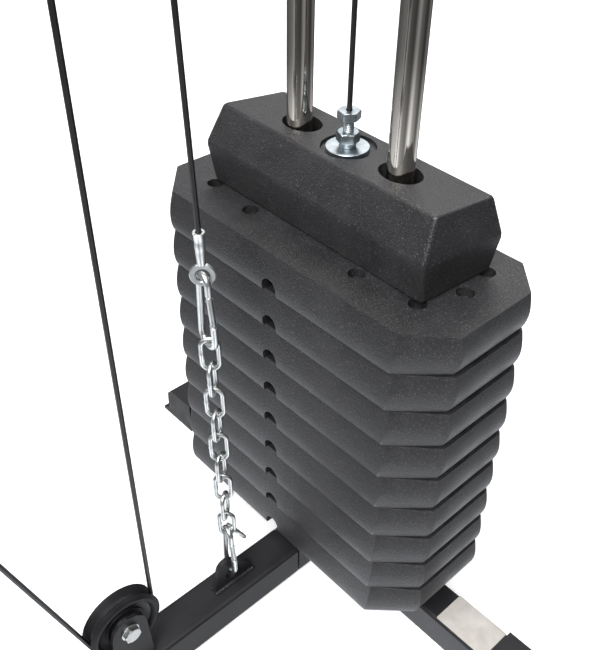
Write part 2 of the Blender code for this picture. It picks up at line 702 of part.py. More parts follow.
def cables():
    """Both cables, run by run; the runs meet end to end where they leave a pulley."""
    top = TOP_PULLEY_Z
    lat, front, middle, rear = top_pulley_places()
    end_gap = Vector((0, 0, 0.0005))

    def wire(name, points):
        return round_wire(name, points, CABLE_RADIUS, "cable_sheath")

    def fall(name, y, low, high, low_y=None):
        start = Vector((0, y if low_y is None else low_y, low)) + end_gap
        return wire(name, [start, Vector((0, y, high)) - end_gap])

    # High cable, from the lat bar to the stack
    fall("lat_fall_cable", lat - GROOVE, LAT_BAR_Z + 0.0305, top)
    wire("high_cable_front_run", arc((lat, top), GROOVE, 180, 90, 9) + arc((front, top), GROOVE, 90, 0, 9))
    loop = arc((BLOCK_Y, BLOCK_HIGH_Z), GROOVE, 180, 360, 14)
    wire("block_upper_cable", [Vector((0, FRONT_FALL_Y, top)) - end_gap, *loop,
                               Vector((0, REAR_FALL_Y, top)) - end_gap])
    wire("high_cable_rear_run", arc((middle, top), GROOVE, 180, 90, 9) + arc((rear, top), GROOVE, 90, 0, 9))
    fall("stack_fall_cable", 0.0, STACK_TOP_Z + HEAD_HEIGHT + 0.0367, top)

    # Low cable, from the chain to the press arm
    fall("low_cable_rear_fall", REAR_FALL_Y, EYE_CENTRE[1] + 0.0380, BLOCK_LOW_Z, EYE_CENTRE[0] - 0.0009)
    loop = arc((BLOCK_Y, BLOCK_LOW_Z), GROOVE, 0, 180, 14)
    wire("low_cable_front_fall", [*loop, Vector((0, FRONT_FALL_Y, LOW_PULLEY[1])) + end_gap])
    lean = math.degrees(PRESS_RUN_LEAN)
    run = arc(LOW_PULLEY, GROOVE, 0, -180 + lean, 14) + arc(press_pulley(), GROOVE, lean, 90, 7)
    wire("low_cable_press_run", run)
    y, z = press_pulley()
    start = Vector((0, y - 0.0005, z + GROOVE))
    wire("press_pull_cable", [start, Vector((0, PRESS_PIVOT[0] + 0.0400, z + GROOVE))])


# Anchor chain

def chain_line():
    """Empty at the ring eye, turned so that its own -Z points at the lug."""
    y, z = EYE_CENTRE
    down = Vector((0, LUG_CENTRE_Y - y, CHAIN_FOOT_Z - z)).normalized()
    return Matrix.Translation((0, y, z)) @ Vector((0, 0, -1)).rotation_difference(down).to_matrix().to_4x4()


def chain_levels():
    """Heights on the chain's line, below the eye: both hooks' tops and the links' tops."""
    upper_hook = 2 * HOOK_WIRE + 0.0024 - EYE_HOLE
    first_link = upper_hook - UPPER_HOOK_LENGTH + 2 * HOOK_WIRE + 0.0008 + LINK_WIRE
    last_bottom = first_link - (LINKS - 1) * LINK_PITCH - link_reach()
    lower_hook = last_bottom + LINK_WIRE + 2 * HOOK_WIRE + 0.0008
    return upper_hook, first_link, lower_hook


def link_reach():
    """From the middle of a link's upper bend to that of its lower one; neighbours just meet."""
    return LINK_PITCH + 2 * LINK_WIRE - 0.0015


def loop_points(length, width, steps):
    """Stadium-shaped loop in the plane y = 0 that hangs down from z = 0, along its middle line."""
    radius = width / 2
    points = []
    for i in range(steps + 1):
        angle = math.pi * i / steps
        points.append(Vector((radius * math.cos(angle), 0, -radius + radius * math.sin(angle))))
    for i in range(steps + 1):
        angle = math.pi * (1 + i / steps)
        points.append(Vector((radius * math.cos(angle), 0, radius - length + radius * math.sin(angle))))
    return points


def turned_points(points, turn_degrees, lift):
    """Points turned about Z and moved along Z."""
    turn = Matrix.Rotation(math.radians(turn_degrees), 3, "Z")
    return [turn @ point + Vector((0, 0, lift)) for point in points]


def chain():
    """Nine taut links, turned to and fro from one to the next, each pulled onto its neighbour."""
    place = chain_line()
    first = chain_levels()[1]
    links = []
    for number in range(LINKS):
        points = loop_points(link_reach(), 0.0160, 4)
        points = turned_points(points, 50 + 70 * (number % 2), first - number * LINK_PITCH)
        name = "chain" if number == 0 else f"chain_link_{number + 1}"
        link = round_wire(name, points, LINK_WIRE, "zinc", closed=True)
        link.matrix_world = place
        links.append(settled(link))
    return weld_on(*links)


def hook_outline(length):
    """Middle line of a spring snap hook, from the nose round the wide end to the gate's hinge."""
    wide, narrow = 0.0118, 0.0075
    top = -HOOK_WIRE
    bottom = -length + HOOK_WIRE
    points = [Vector((wide, 0, bottom + wide + 0.016))]
    for i in range(7):
        angle = math.pi * i / 6
        points.append(Vector((wide * math.cos(angle), 0, bottom + wide - wide * math.sin(angle))))
    for i in range(7):
        angle = math.pi * (1 - i / 6)
        points.append(Vector((narrow * math.cos(angle), 0, top - narrow + narrow * math.sin(angle))))
    points.append(Vector((narrow, 0, top - narrow - 0.010)))
    return points


def snap_hook(name, length, lift, turn, flipped=False):
    """Bent wire hook with its spring gate as a second piece; returns both."""
    place = chain_line() @ Matrix.Translation((0, 0, lift)) @ Matrix.Rotation(math.radians(turn), 4, "Z")
    if flipped:
        place = place @ Matrix.Translation((0, 0, -length)) @ Matrix.Rotation(math.pi, 4, "Y")
    points = hook_outline(length)
    body = round_wire(f"{name}_snap_hook", points, HOOK_WIRE, "zinc", resolution=2)
    body.matrix_world = place
    hinge, nose = points[-1], points[0]
    along = (nose - hinge).normalized()
    gate_points = [hinge + along * 0.0014, nose - along * 0.0008]
    gate = round_wire(f"{name}_hook_gate", gate_points, HOOK_WIRE - 0.0006, "zinc", resolution=2)
    gate.matrix_world = place
    return body, gate


def cable_ferrule():
    """Crimped sleeve, flared at its mouth, that ends in a flat ring eye."""
    place = chain_line()
    low, high = 0.0108, 0.0430
    bore = CABLE_RADIUS + GAP
    profile = [(0.0, 0.0370), (bore, 0.0370), (bore, high), (0.0054, high), (0.0054, high - 0.0012),
               (0.0047, high - 0.003), (0.0047, 0.028), (0.0038, 0.014), (0.0038, low), (0.0, low)]
    sleeve = turned("cable_ferrule", profile, "zinc", 12, place=place)
    ring = [circle(0.0116, 20), circle(EYE_HOLE, 12)]
    eye = flat_piece("ring_eye", ring, 0.0036, ALONG_Y, (0, 0, 0), "zinc")
    eye.matrix_world = place @ Matrix.Rotation(math.radians(47), 4, "Z") @ ALONG_Y
    return weld_on(sleeve, eye)


def anchor_lug():
    """Plate lug welded along the base tube: a high front shoulder, a slope down to the rear and
    the hole that the hook hangs in."""
    low = TUBE_TOP - 0.001
    front, rear = LUG_CENTRE_Y - 0.0275, LUG_CENTRE_Y + 0.0300
    shoulder, heel = (LUG_CENTRE_Y - 0.0080, 0.0790), (LUG_CENTRE_Y + 0.0205, 0.0560)
    outline = [(front, low)]
    outline += [(p.y, p.z) for p in arc(shoulder, 0.0115, 165, 43, 6)]
    outline += [(p.y, p.z) for p in arc(heel, 0.0065, 43, 0, 3)]
    outline.append((rear, low))
    hole = circle(LUG_HOLE, 16, (LUG_CENTRE_Y, LUG_HOLE_TOP_Z - LUG_HOLE))
    return flat_piece("anchor_lug", [outline, hole], LUG_THICKNESS, ALONG_X, (0, 0, 0), "frame_paint")


# Stations

def seat_flange_y():
    """Middle of the flange plate between seat frame and upright."""
    return UPRIGHT_Y - TUBE / 2 - GAP - 0.002


def seat_frame():
    """Tube forward from the upright, a post under it, the post sleeve and two seat supports."""
    back = seat_flange_y()
    tube = square_tube("seat_frame", -back, -(SLEEVE_Y + TUBE / 2 - 0.001), ALONG_Y,
                       (0, 0, SEAT_TUBE_Z))
    flange = flat_piece("seat_flange", [rounded_rectangle(TUBE + 0.036, TUBE, 0.006), circle(0.012, 10)],
                        0.004, ALONG_Y, (0, back, SEAT_TUBE_Z), "frame_paint")
    sleeve = square_tube("post_sleeve", SEAT_TUBE_Z - 0.060, SEAT_TUBE_Z + 0.050, ALONG_Z,
                         (0, SLEEVE_Y, 0))
    post = square_tube("seat_post", TUBE_TOP + GAP + 0.003, SEAT_TUBE_Z - TUBE / 2 + 0.001, ALONG_Z,
                       (0, -1.225, 0))
    foot = flat_piece("seat_post_foot", [rounded_rectangle(0.045, 0.100, 0.004), circle(0.006, 8)], 0.005,
                      ALONG_Z, (0, -1.225, TUBE_TOP + GAP + 0.0025), "frame_paint")
    supports = [box(f"seat_support_{i}", (-0.115, y - 0.020, SEAT_TUBE_Z + TUBE / 2 - 0.001),
                    (0.115, y + 0.020, SEAT_TUBE_Z + TUBE / 2 + 0.004), "frame_paint", 0.001)
                for i, y in enumerate((-1.000, -1.200))]
    pin_hole = cylinder("sleeve_pin_hole", 0.0055, -SLEEVE_Y, -SLEEVE_Y + 0.04, ALONG_Y,
                        (0, 0, SEAT_TUBE_Z + 0.030), "frame_paint", 10)
    return cut(weld_on(tube, flange, sleeve, post, foot, *supports), pin_hole)


def cushion(name, half_width, half_length, thickness, place, finish="upholstery"):
    """Crowned pad from a coarse cage: its sides pull in between the corners, its back is flat."""
    across, along = 4, 6
    bm = bmesh.new()
    layers = []
    # Height share, inset of the outline and crown share of each layer from the board up
    for share, inset, crown in ((0.0, 0.004, 0.0), (0.18, 0.0, 0.0), (0.72, 0.0, 0.25), (0.98, 0.014, 1.0)):
        rows = []
        for j in range(along + 1):
            row = []
            for i in range(across + 1):
                u, v = 2 * i / across - 1, 2 * j / along - 1
                pull = 0.006 * (1 - v * v) * abs(u) ** 3
                pull_end = 0.006 * (1 - u * u) * abs(v) ** 3
                x = u * (half_width - inset) - math.copysign(pull, u) * (abs(u) > 0.99)
                y = v * (half_length - inset) - math.copysign(pull_end, v) * (abs(v) > 0.99)
                rise = crown * 0.22 * thickness * (1 - u * u) * (1 - v * v)
                row.append((x, y, share * thickness * 0.86 + rise))
            rows.append(row)
        layers.append(rows)
    grid_low = [[bm.verts.new(p) for p in row] for row in layers[0]]
    grid_high = [[bm.verts.new(p) for p in row] for row in layers[-1]]
    rim = [(i, 0) for i in range(across)] + [(across, j) for j in range(along)]
    rim += [(i, along) for i in range(across, 0, -1)] + [(0, j) for j in range(along, 0, -1)]
    loops = [[grid_low[j][i] for i, j in rim]]
    loops += [[bm.verts.new(rows[j][i]) for i, j in rim] for rows in layers[1:-1]]
    loops.append([grid_high[j][i] for i, j in rim])
    for lower, upper in zip(loops, loops[1:]):
        for k in range(len(rim)):
            n = (k + 1) % len(rim)
            bm.faces.new((lower[k], lower[n], upper[n], upper[k]))
    for j in range(along):
        for i in range(across):
            bm.faces.new((grid_low[j][i], grid_low[j + 1][i], grid_low[j + 1][i + 1], grid_low[j][i + 1]))
            bm.faces.new((grid_high[j][i], grid_high[j][i + 1], grid_high[j + 1][i + 1],
                          grid_high[j + 1][i]))
    pad = add_mesh(name, bm, finish)
    smooth = pad.modifiers.new("soft_form", "SUBSURF")
    smooth.levels = 1
    smooth.render_levels = 1
    pad.matrix_world = place
    return pad


def seat_pad():
    base = SEAT_TUBE_Z + TUBE / 2 + 0.004 + GAP
    return cushion("seat_pad", 0.150, 0.170, SEAT_TOP_Z - base, Matrix.Translation((0, -1.100, base)))


def backrest_frame():
    """Plate and two stub tubes that carry the backrest in front of the upright."""
    stub_heights = (0.640, 1.100)
    vents = [circle(0.006, 8, (0.0, z)) for z in stub_heights]
    outline = rounded_rectangle(0.120, 0.620, 0.012, 2, (0.0, 0.870))
    plate = flat_piece("backrest_plate", [outline, *vents], 0.005, ALONG_Y, (0, BACKREST_Y + 0.0025, 0),
                       "frame_paint")
    stubs = [square_tube(f"backrest_stub_{z:.2f}", -(UPRIGHT_Y - TUBE / 2 + 0.001),
                         -(BACKREST_Y + 0.004), ALONG_Y, (0, 0, z), size=0.038) for z in stub_heights]
    return [*stubs, plate]


def backrest_pad():
    turn = Matrix.Rotation(math.radians(90), 4, "X")
    place = Matrix.Translation((0, BACKREST_Y - GAP, 0.870)) @ turn
    return cushion("backrest_pad", 0.140, 0.340, 0.056, place)


def press_arm():
    """Pivot pin and sleeve, a centre tube, and one bent tube for the cross bar and both arms."""
    y, z = PRESS_PIVOT
    lug_z = press_pulley()[1] + GROOVE
    side = TUBE / 2 - 0.0008
    end = TUBE / 2 + 0.0090
    profile = [(0.0, end), (0.0070, end), (0.0080, end - 0.001), (0.0080, side), (0.0190, side)]
    profile += [(radius, -height) for radius, height in reversed(profile)]
    pivot = turned("press_arm", profile, "frame_paint", 18,
                   place=Matrix.Translation((0, y, z)) @ Matrix.Rotation(math.pi / 2, 4, "Y"))
    centre = square_tube("press_centre_tube", lug_z - 0.012, z - 0.014, ALONG_Z, (0, y, 0), size=0.038)
    half, low_y, low_z = 0.270, -1.090, 1.020
    corners = [(0.395, low_y, low_z), (half, low_y, low_z), (half, y - 0.050, lug_z - 0.110),
               (half, y, lug_z), (-half, y, lug_z), (-half, y - 0.050, lug_z - 0.110),
               (-half, low_y, low_z), (-0.395, low_y, low_z)]
    bent = round_wire("press_bent_tube", route_with_bends(corners, 0.045, 3), 0.016, "frame_paint",
                      resolution=2)
    return weld_on(pivot, centre, bent, press_cable_lug(y, lug_z))


def press_cable_lug(y, z):
    """Small block behind the cross bar that the low cable's end is fixed to."""
    return box("press_cable_lug", (-0.009, y + 0.010, z - 0.009), (0.009, y + 0.0397, z + 0.009),
               "frame_paint", 0.0015)


def grip_profile(inner, outer, length):
    """Handle grip with a collar, closed at its outer end, from 0 to length."""
    return [(0.0, length), (outer - 0.002, length), (outer, length - 0.003), (outer, 0.010),
            (outer + 0.003, 0.006), (outer + 0.003, 0.0), (inner, 0.0), (inner, length - 0.004),
            (0.0, length - 0.004)]


def press_grips():
    """Ribbed rubber grips over the ends of the press arm."""
    profile = grip_profile(0.0168, 0.0205, 0.0813 + GAP)
    for side, name in ((-1, "left_press_grip"), (1, "right_press_grip")):
        turn = Matrix.Rotation(side * math.pi / 2, 4, "Y")
        turned(name, profile, "rubber", 12,
               place=Matrix.Translation((side * 0.318, -1.090, 1.020)) @ turn)


def lat_bar():
    """Wide bar, bent down at both ends, with a round lug for the cable in its middle."""
    y = LAT_PULLEY_Y - GROOVE
    corners = [(0.470, y, LAT_BAR_Z - 0.085), (0.280, y, LAT_BAR_Z), (-0.280, y, LAT_BAR_Z),
               (-0.470, y, LAT_BAR_Z - 0.085)]
    bar = round_wire("lat_bar", route_with_bends(corners, 0.080, 4), 0.0125, "chrome", resolution=2)
    lug = turned("lat_lug", [(0.0, 0.030), (0.0060, 0.030), (0.0075, 0.026), (0.0075, 0.0), (0.0, 0.0)],
                 "chrome", 12, place=Matrix.Translation((0, y, LAT_BAR_Z)))
    return weld_on(bar, lug)


def thigh_post():
    """Post that slides in the seat frame's sleeve, with the tube that the foam rollers sit on."""
    size = 0.038
    post = square_tube("thigh_post", SEAT_TUBE_Z - 0.100, ROLLER_Z + 0.004, ALONG_Z, (0, SLEEVE_Y, 0),
                       size=size)
    bar = cylinder("roller_tube", 0.0110, -0.205, 0.205, ALONG_X, (0, SLEEVE_Y, ROLLER_Z), "chrome", 14)
    holes = [cylinder("post_hole", 0.0052, -SLEEVE_Y, -SLEEVE_Y + 0.03, ALONG_Y,
                      (0, 0, SEAT_TUBE_Z + 0.030 - 0.025 * i), "chrome", 8) for i in range(5)]
    return cut(weld_on(post, bar), merged("post_holes", holes))


def thigh_pin():
    """Spring pull pin with a knob in the sleeve's front wall; its tip clears the post."""
    face = SLEEVE_Y - TUBE / 2 - GAP
    profile = [(0.0, 0.034), (0.0120, 0.032), (0.0140, 0.026), (0.0120, 0.016), (0.0080, 0.013),
               (0.0080, 0.0), (0.0045, 0.0), (0.0045, -0.0030), (0.0, -0.0033)]
    place = Matrix.Translation((0, face, SEAT_TUBE_Z + 0.030)) @ Matrix.Rotation(math.pi / 2, 4, "X")
    return turned("thigh_pin", profile, "black_plastic", 12, place=place)


def foam_rollers():
    """Two foam sleeves with rounded ends on the roller tube."""
    bore = 0.0113
    profile = [(bore, 0.155), (0.036, 0.155), (ROLLER_RADIUS - 0.002, 0.150), (ROLLER_RADIUS, 0.140),
               (ROLLER_RADIUS, 0.015), (ROLLER_RADIUS - 0.002, 0.005), (0.036, 0.0), (bore, 0.0)]
    for side, name in ((-1, "left_foam_roller"), (1, "right_foam_roller")):
        turn = Matrix.Rotation(side * math.pi / 2, 4, "Y")
        place = Matrix.Translation((side * 0.040, SLEEVE_Y, ROLLER_Z)) @ turn
        turned(name, profile, "foam", 16, closed=True, place=place)


def place_on_floor():
    """Parent every piece to one empty and centre the gym's footprint on the origin."""
    root = bpy.data.objects.new("gym_origin", None)
    bpy.context.scene.collection.objects.link(root)
    for obj in list(PARTS.objects) + list(CUTTERS.objects):
        place = obj.matrix_world.copy()
        obj.parent = root
        obj.matrix_world = place
    root.location.y = RODS_Y
    bpy.context.view_layer.update()


def build():
    rear_cross_tube()
    base_tube()
    foot_caps()
    main_upright()
    top_boom()
    weight_plates()
    weight_head()
    stack_bolt()
    selector_rod()
    selector_pin()
    guide_rods()
    rod_bumpers()
    pulleys()
    floating_block()
    cables()
    chain()
    upper, _, lower = chain_levels()
    snap_hook("upper", UPPER_HOOK_LENGTH, upper, UPPER_HOOK_TURN)
    snap_hook("lower", LOWER_HOOK_LENGTH, lower, LOWER_HOOK_TURN)
    cable_ferrule()
    seat_frame()
    seat_pad()
    backrest_pad()
    press_arm()
    press_grips()
    lat_bar()
    thigh_post()
    thigh_pin()
    foam_rollers()
    place_on_floor()


PARTS, CUTTERS = start_scene()
build()
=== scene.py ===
# %% [markdown]
# # A home multi gym with a weight stack
# The CAD frame gives the sizes and the joints. Each cell below dresses one group of pieces: it
# builds the detailed form in the frame's coordinates, gives it a procedural material, and tells it
# which body it rides on. Lengths are metres, and y = 0 in the formulas is the plane of the guide
# rods. The script can't read the CAD source, so each cell repeats the sizes that it needs by name.

# %% Load the frame
from math import copysign, cos, pi, radians, sin, tan, tau

import bmesh
import bpy
from mathutils import Matrix, Vector, kdtree, noise


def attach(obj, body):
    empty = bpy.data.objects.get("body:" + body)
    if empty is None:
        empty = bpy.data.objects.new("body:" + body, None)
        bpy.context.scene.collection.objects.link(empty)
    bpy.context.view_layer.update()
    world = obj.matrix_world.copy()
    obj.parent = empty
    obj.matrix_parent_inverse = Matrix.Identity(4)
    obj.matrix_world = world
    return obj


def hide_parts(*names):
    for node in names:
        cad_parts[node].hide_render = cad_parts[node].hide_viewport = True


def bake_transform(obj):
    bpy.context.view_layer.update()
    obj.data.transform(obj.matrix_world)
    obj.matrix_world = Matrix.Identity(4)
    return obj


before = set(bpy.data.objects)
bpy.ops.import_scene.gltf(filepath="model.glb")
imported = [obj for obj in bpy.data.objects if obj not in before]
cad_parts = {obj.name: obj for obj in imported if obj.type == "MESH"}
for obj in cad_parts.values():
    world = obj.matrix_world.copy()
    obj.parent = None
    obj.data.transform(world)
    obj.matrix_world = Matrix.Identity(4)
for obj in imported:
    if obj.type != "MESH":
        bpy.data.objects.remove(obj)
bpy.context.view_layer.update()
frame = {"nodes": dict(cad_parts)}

RODS_Y = 0.65075
FROM_RODS = Vector((0, RODS_Y, 0))

# %% [markdown]
# ## Camera
# The camera was fitted to the straight edges of the photograph: a 47 mm lens, 0.9 m above the
# floor, looking down at the corner between the stack and the low pulley. A tracking constraint
# could aim it, but a matrix keeps the small roll that the fit found.


# %% Camera
def linked(name, data):
    """New object in the scene."""
    obj = bpy.data.objects.new(name, data)
    bpy.context.scene.collection.objects.link(obj)
    return obj


def shift(x, y, z):
    """Matrix that moves by x, y, z."""
    return Matrix.Translation((x, y, z))


CAMERA_PLACE = Vector((0.48784, -0.51147, 0.9068))
yaw, pitch, roll = radians(46.63), radians(38.54), radians(1.03)
look = Vector((-sin(yaw) * cos(pitch), cos(yaw) * cos(pitch), -sin(pitch)))
right = Vector((cos(yaw), sin(yaw), 0.0))
up = right.cross(look)
right, up = cos(roll) * right + sin(roll) * up, cos(roll) * up - sin(roll) * right
camera = linked("photo_camera", bpy.data.cameras.new("photo_camera"))
camera.matrix_world = Matrix.Translation(CAMERA_PLACE + FROM_RODS) @ Matrix(
    (right, up, -look)).transposed().to_4x4()
camera.data.lens, camera.data.sensor_width, camera.data.clip_start = 46.91, 36.0, 0.02
bpy.context.scene.camera = camera
print("camera at", [round(c, 4) for c in camera.matrix_world.translation])

# %% [markdown]
# ## Materials
# Every finish is procedural and reads the piece's own coordinates in metres, so the grain keeps its
# real size and moves with the piece. A painted tube could be a flat colour, but powder coat shows a
# faint orange peel and uneven gloss, so each finish mixes two colours, two gloss values and one or
# two bumps. Short helpers add the shader nodes, since every finish needs about ten.


# %% Node helpers
def feed(tree, node, inputs):
    """Set a node's inputs, by name or number, to values or to other nodes' outputs."""
    for key, value in inputs.items():
        if isinstance(value, bpy.types.NodeSocket):
            tree.links.new(value, node.inputs[key])
        else:
            node.inputs[key].default_value = value


def add(tree, kind, inputs=None, **settings):
    """New shader node with its settings and inputs."""
    made = tree.nodes.new("ShaderNode" + kind)
    for key, value in settings.items():
        setattr(made, key, value)
    feed(tree, made, inputs or {})
    return made


def ramp(tree, factor, stops, interpolation="LINEAR"):
    """Colour that runs through stops of (position, colour)."""
    made = add(tree, "ValToRGB", {"Fac": factor})
    made.color_ramp.interpolation = interpolation
    elements = made.color_ramp.elements
    elements[0].position, elements[1].position = stops[0][0], stops[-1][0]
    for position, _ in stops[1:-1]:
        elements.new(position)
    for element, (_, colour) in zip(elements, stops):
        element.color = (*colour, 1)
    return made.outputs["Color"]


print("node helpers ready")

# %% Material maker
SPECK_COLOUR = (0.16, 0.155, 0.15, 1)


def finish(name, dark, light, rough, patches, bumps, metallic=0.0, stretch=(1, 1, 1),
           specular=0.5, specks=0.0):
    """dark and light are mixed by soft patches, rough is (low, high), and bumps are
    (kind, scale, strength, distance) from coarse to fine. specks is the size of a light grain."""
    material = bpy.data.materials.new(name)
    material.use_nodes = True
    tree = material.node_tree
    place = add(tree, "TexCoord").outputs["Object"]
    place = add(tree, "Mapping", {"Vector": place, "Scale": stretch}).outputs["Vector"]
    cloud = add(tree, "TexNoise", {"Vector": place, "Scale": patches, "Detail": 5.0}).outputs["Fac"]
    colour = ramp(tree, cloud, ((0.3, dark), (0.7, light)))
    if specks:
        grain = add(tree, "TexNoise", {"Vector": place, "Scale": 1 / specks, "Detail": 1.0})
        pick = add(tree, "MapRange", {"Value": grain.outputs["Fac"], "From Min": 0.60,
                                      "From Max": 0.78, "To Max": 0.55}).outputs["Result"]
        colour = add(tree, "Mix", {"Factor": pick, "A": colour, "B": SPECK_COLOUR},
                     data_type="RGBA").outputs["Result"]
    gloss = add(tree, "MapRange", {"Value": cloud, "From Min": 0.3, "From Max": 0.7,
                                   "To Min": rough[0], "To Max": rough[1]}).outputs["Result"]
    shader = {"Base Color": colour, "Roughness": gloss, "Metallic": metallic,
              "Specular IOR Level": specular}
    for kind, scale, strength, distance in bumps:
        grid = {"Vector": place, "Scale": scale}
        if kind == "cells":
            height = add(tree, "TexVoronoi", grid).outputs["Distance"]
        else:
            height = add(tree, "TexNoise", {**grid, "Detail": 3.0}).outputs["Fac"]
        bump = {"Height": height, "Strength": strength, "Distance": distance}
        if "Normal" in shader:
            bump["Normal"] = shader["Normal"]
        shader["Normal"] = add(tree, "Bump", bump).outputs["Normal"]
    feed(tree, tree.nodes["Principled BSDF"], shader)
    return material


paint = finish("powder_coat", (0.012, 0.0118, 0.0138), (0.019, 0.0186, 0.0212),
               (0.42, 0.54), 18.0, [("noise", 420.0, 0.22, 0.0004)], specular=0.36)
print(paint.name, "has", len(paint.node_tree.nodes), "nodes")

# %% The finishes
weight_skin = finish(
    "weight_skin", (0.0125, 0.0125, 0.0138), (0.023, 0.023, 0.0248), (0.36, 0.50),
    26.0, [("noise", 160.0, 0.20, 0.0006), ("noise", 620.0, 0.60, 0.0009)], specks=0.0012)
chrome = finish("chrome_plate", (0.82, 0.77, 0.69), (0.94, 0.89, 0.81), (0.07, 0.12), 9.0,
                [("noise", 260.0, 0.03, 0.0003)], metallic=1.0, stretch=(1, 1, 0.08))
zinc = finish("zinc_plate", (0.56, 0.58, 0.57), (0.74, 0.76, 0.75), (0.30, 0.44), 90.0,
              [("noise", 500.0, 0.12, 0.0003)], metallic=1.0)
bolt_zinc = finish("bolt_zinc", (0.30, 0.35, 0.38), (0.54, 0.58, 0.60), (0.28, 0.42), 120.0,
                   [("noise", 900.0, 0.10, 0.0002)], metallic=1.0)
sheath = finish("cable_sheath", (0.006, 0.006, 0.007), (0.011, 0.011, 0.012),
                (0.34, 0.44), 60.0, [("noise", 300.0, 0.12, 0.0002)])
black_plastic = finish(
    "moulded_plastic", (0.011, 0.011, 0.012), (0.018, 0.018, 0.020), (0.40, 0.54),
    60.0, [("noise", 1100.0, 0.30, 0.0003)], specular=0.26)
rubber = finish("grip_rubber", (0.014, 0.014, 0.015), (0.024, 0.024, 0.025),
                (0.66, 0.80), 70.0, [("cells", 700.0, 0.35, 0.0004)])
foam = finish("roller_foam", (0.022, 0.022, 0.024), (0.036, 0.036, 0.038), (0.82, 0.94),
              40.0, [("cells", 620.0, 0.55, 0.0008), ("noise", 1800.0, 0.4, 0.0004)])
leather = finish("pad_leather", (0.020, 0.020, 0.022), (0.034, 0.034, 0.037),
                 (0.42, 0.56), 22.0,
                 [("cells", 430.0, 0.40, 0.0005), ("noise", 1300.0, 0.25, 0.0002)])
piping_leather = finish("piping_leather", (0.014, 0.014, 0.015),
                        (0.024, 0.024, 0.026), (0.36, 0.46), 80.0, [("cells", 900.0, 0.3, 0.0003)])
label = finish("bare_label", (0.36, 0.335, 0.31), (0.52, 0.49, 0.455), (0.34, 0.50), 45.0,
               [("noise", 55.0, 0.5, 0.0012), ("noise", 240.0, 0.2, 0.0004)])
print(len(bpy.data.materials), "materials")

# %% [markdown]
# ## Frame
# The welded square tubes and the moulded foot caps keep their CAD nodes, whose walls and joints are
# already right, so new meshes would gain nothing. A bevel modifier rounds the caps' edges.


# %% Frame nodes
def soften(obj, width, segments=2, angle=35.0):
    """Rounded edges by a modifier, with normals that keep the flat faces flat."""
    bevel = obj.modifiers.new("soft_edges", "BEVEL")
    bevel.width, bevel.segments, bevel.limit_method = width, segments, "ANGLE"
    bevel.angle_limit = radians(angle)
    bevel.harden_normals = True


node = frame["nodes"]
TUBES = ("rear_cross_tube", "base_tube", "main_upright", "top_boom", "seat_frame", "thigh_post")
CAPS = [f"{end}_{side}_foot_cap" for end in ("rear", "front") for side in ("left", "right")]
for names, material in ((TUBES, paint), (CAPS, black_plastic)):
    for name in names:
        node[name].data.materials.clear()
        node[name].data.materials.append(material)
for name in CAPS:
    soften(node[name], 0.0012, 3)
print(len(TUBES), "tubes and", len(CAPS), "caps")

# %% [markdown]
# ## Stage and light
# The photograph is cut out on white and softly lit. The key light hangs high behind the camera's
# left shoulder, and three weaker ones soften the shadows. One grey world could do the rest, but
# painted and plated metal look like what they mirror, so the world differs by ray: white for the
# camera, an even fill for surfaces, and a room of light and dark bands for mirrors, which draws
# the long streaks on chrome.


# %% Floor
def to_object(name, bm, material, sharp=35.0, at=None):
    """Finish a bmesh as an object of the scene, smooth apart from its real edges."""
    if at is not None:
        bmesh.ops.transform(bm, matrix=at, verts=bm.verts)
    bmesh.ops.translate(bm, verts=bm.verts, vec=FROM_RODS)
    bmesh.ops.recalc_face_normals(bm, faces=bm.faces)
    mesh = bpy.data.meshes.new(name)
    bm.to_mesh(mesh)
    bm.free()
    mesh.shade_smooth()
    mesh.set_sharp_from_angle(angle=radians(sharp))
    mesh.materials.append(material)
    return linked(name, mesh)


def stage_floor():
    """Wide pale floor, a little brighter to the camera; mirrors see the room instead of it."""
    bm = bmesh.new()
    bmesh.ops.create_grid(bm, x_segments=2, y_segments=2, size=7.0)
    material = bpy.data.materials.new("studio_floor")
    material.use_nodes = True
    tree = material.node_tree
    seen = add(tree, "LightPath").outputs["Is Camera Ray"]
    glow = add(tree, "Math", {0: seen, 1: 0.40}, operation="MULTIPLY").outputs["Value"]
    feed(tree, tree.nodes["Principled BSDF"], {
        "Base Color": ramp(tree, seen, ((0, (0.30,) * 3), (1, (0.93,) * 3))), "Roughness": 0.9,
        "Emission Color": (1, 1, 1, 1), "Emission Strength": glow})
    floor = to_object("studio_floor", bm, material, at=shift(0, 0, -0.0006))
    floor.visible_glossy = False


stage_floor()
print("floor ready")

# %% World
CEILING = 0.45  # how bright mirrors see the ceiling
HORIZON, FLOOR_GLOW = 0.25, 3.8  # what the bands are multiplied by at eye level and at the floor
# Share of the full turn from the left side round, and what a mirror sees there
ROOM_BANDS = ((0.0, 0.32), (0.16, 0.53), (0.24, 0.98), (0.3, 0.26), (0.38, 0.17), (0.46, 0.92),
              (0.52, 0.36), (0.62, 0.13), (0.72, 0.6), (0.8, 0.11), (0.9, 0.86), (1.0, 0.32))
ROOM_TINT = (0.97, 0.99, 1.04)


def background(tree, colour, strength=1.0):
    return add(tree, "Background", {"Color": colour, "Strength": strength}).outputs["Background"]


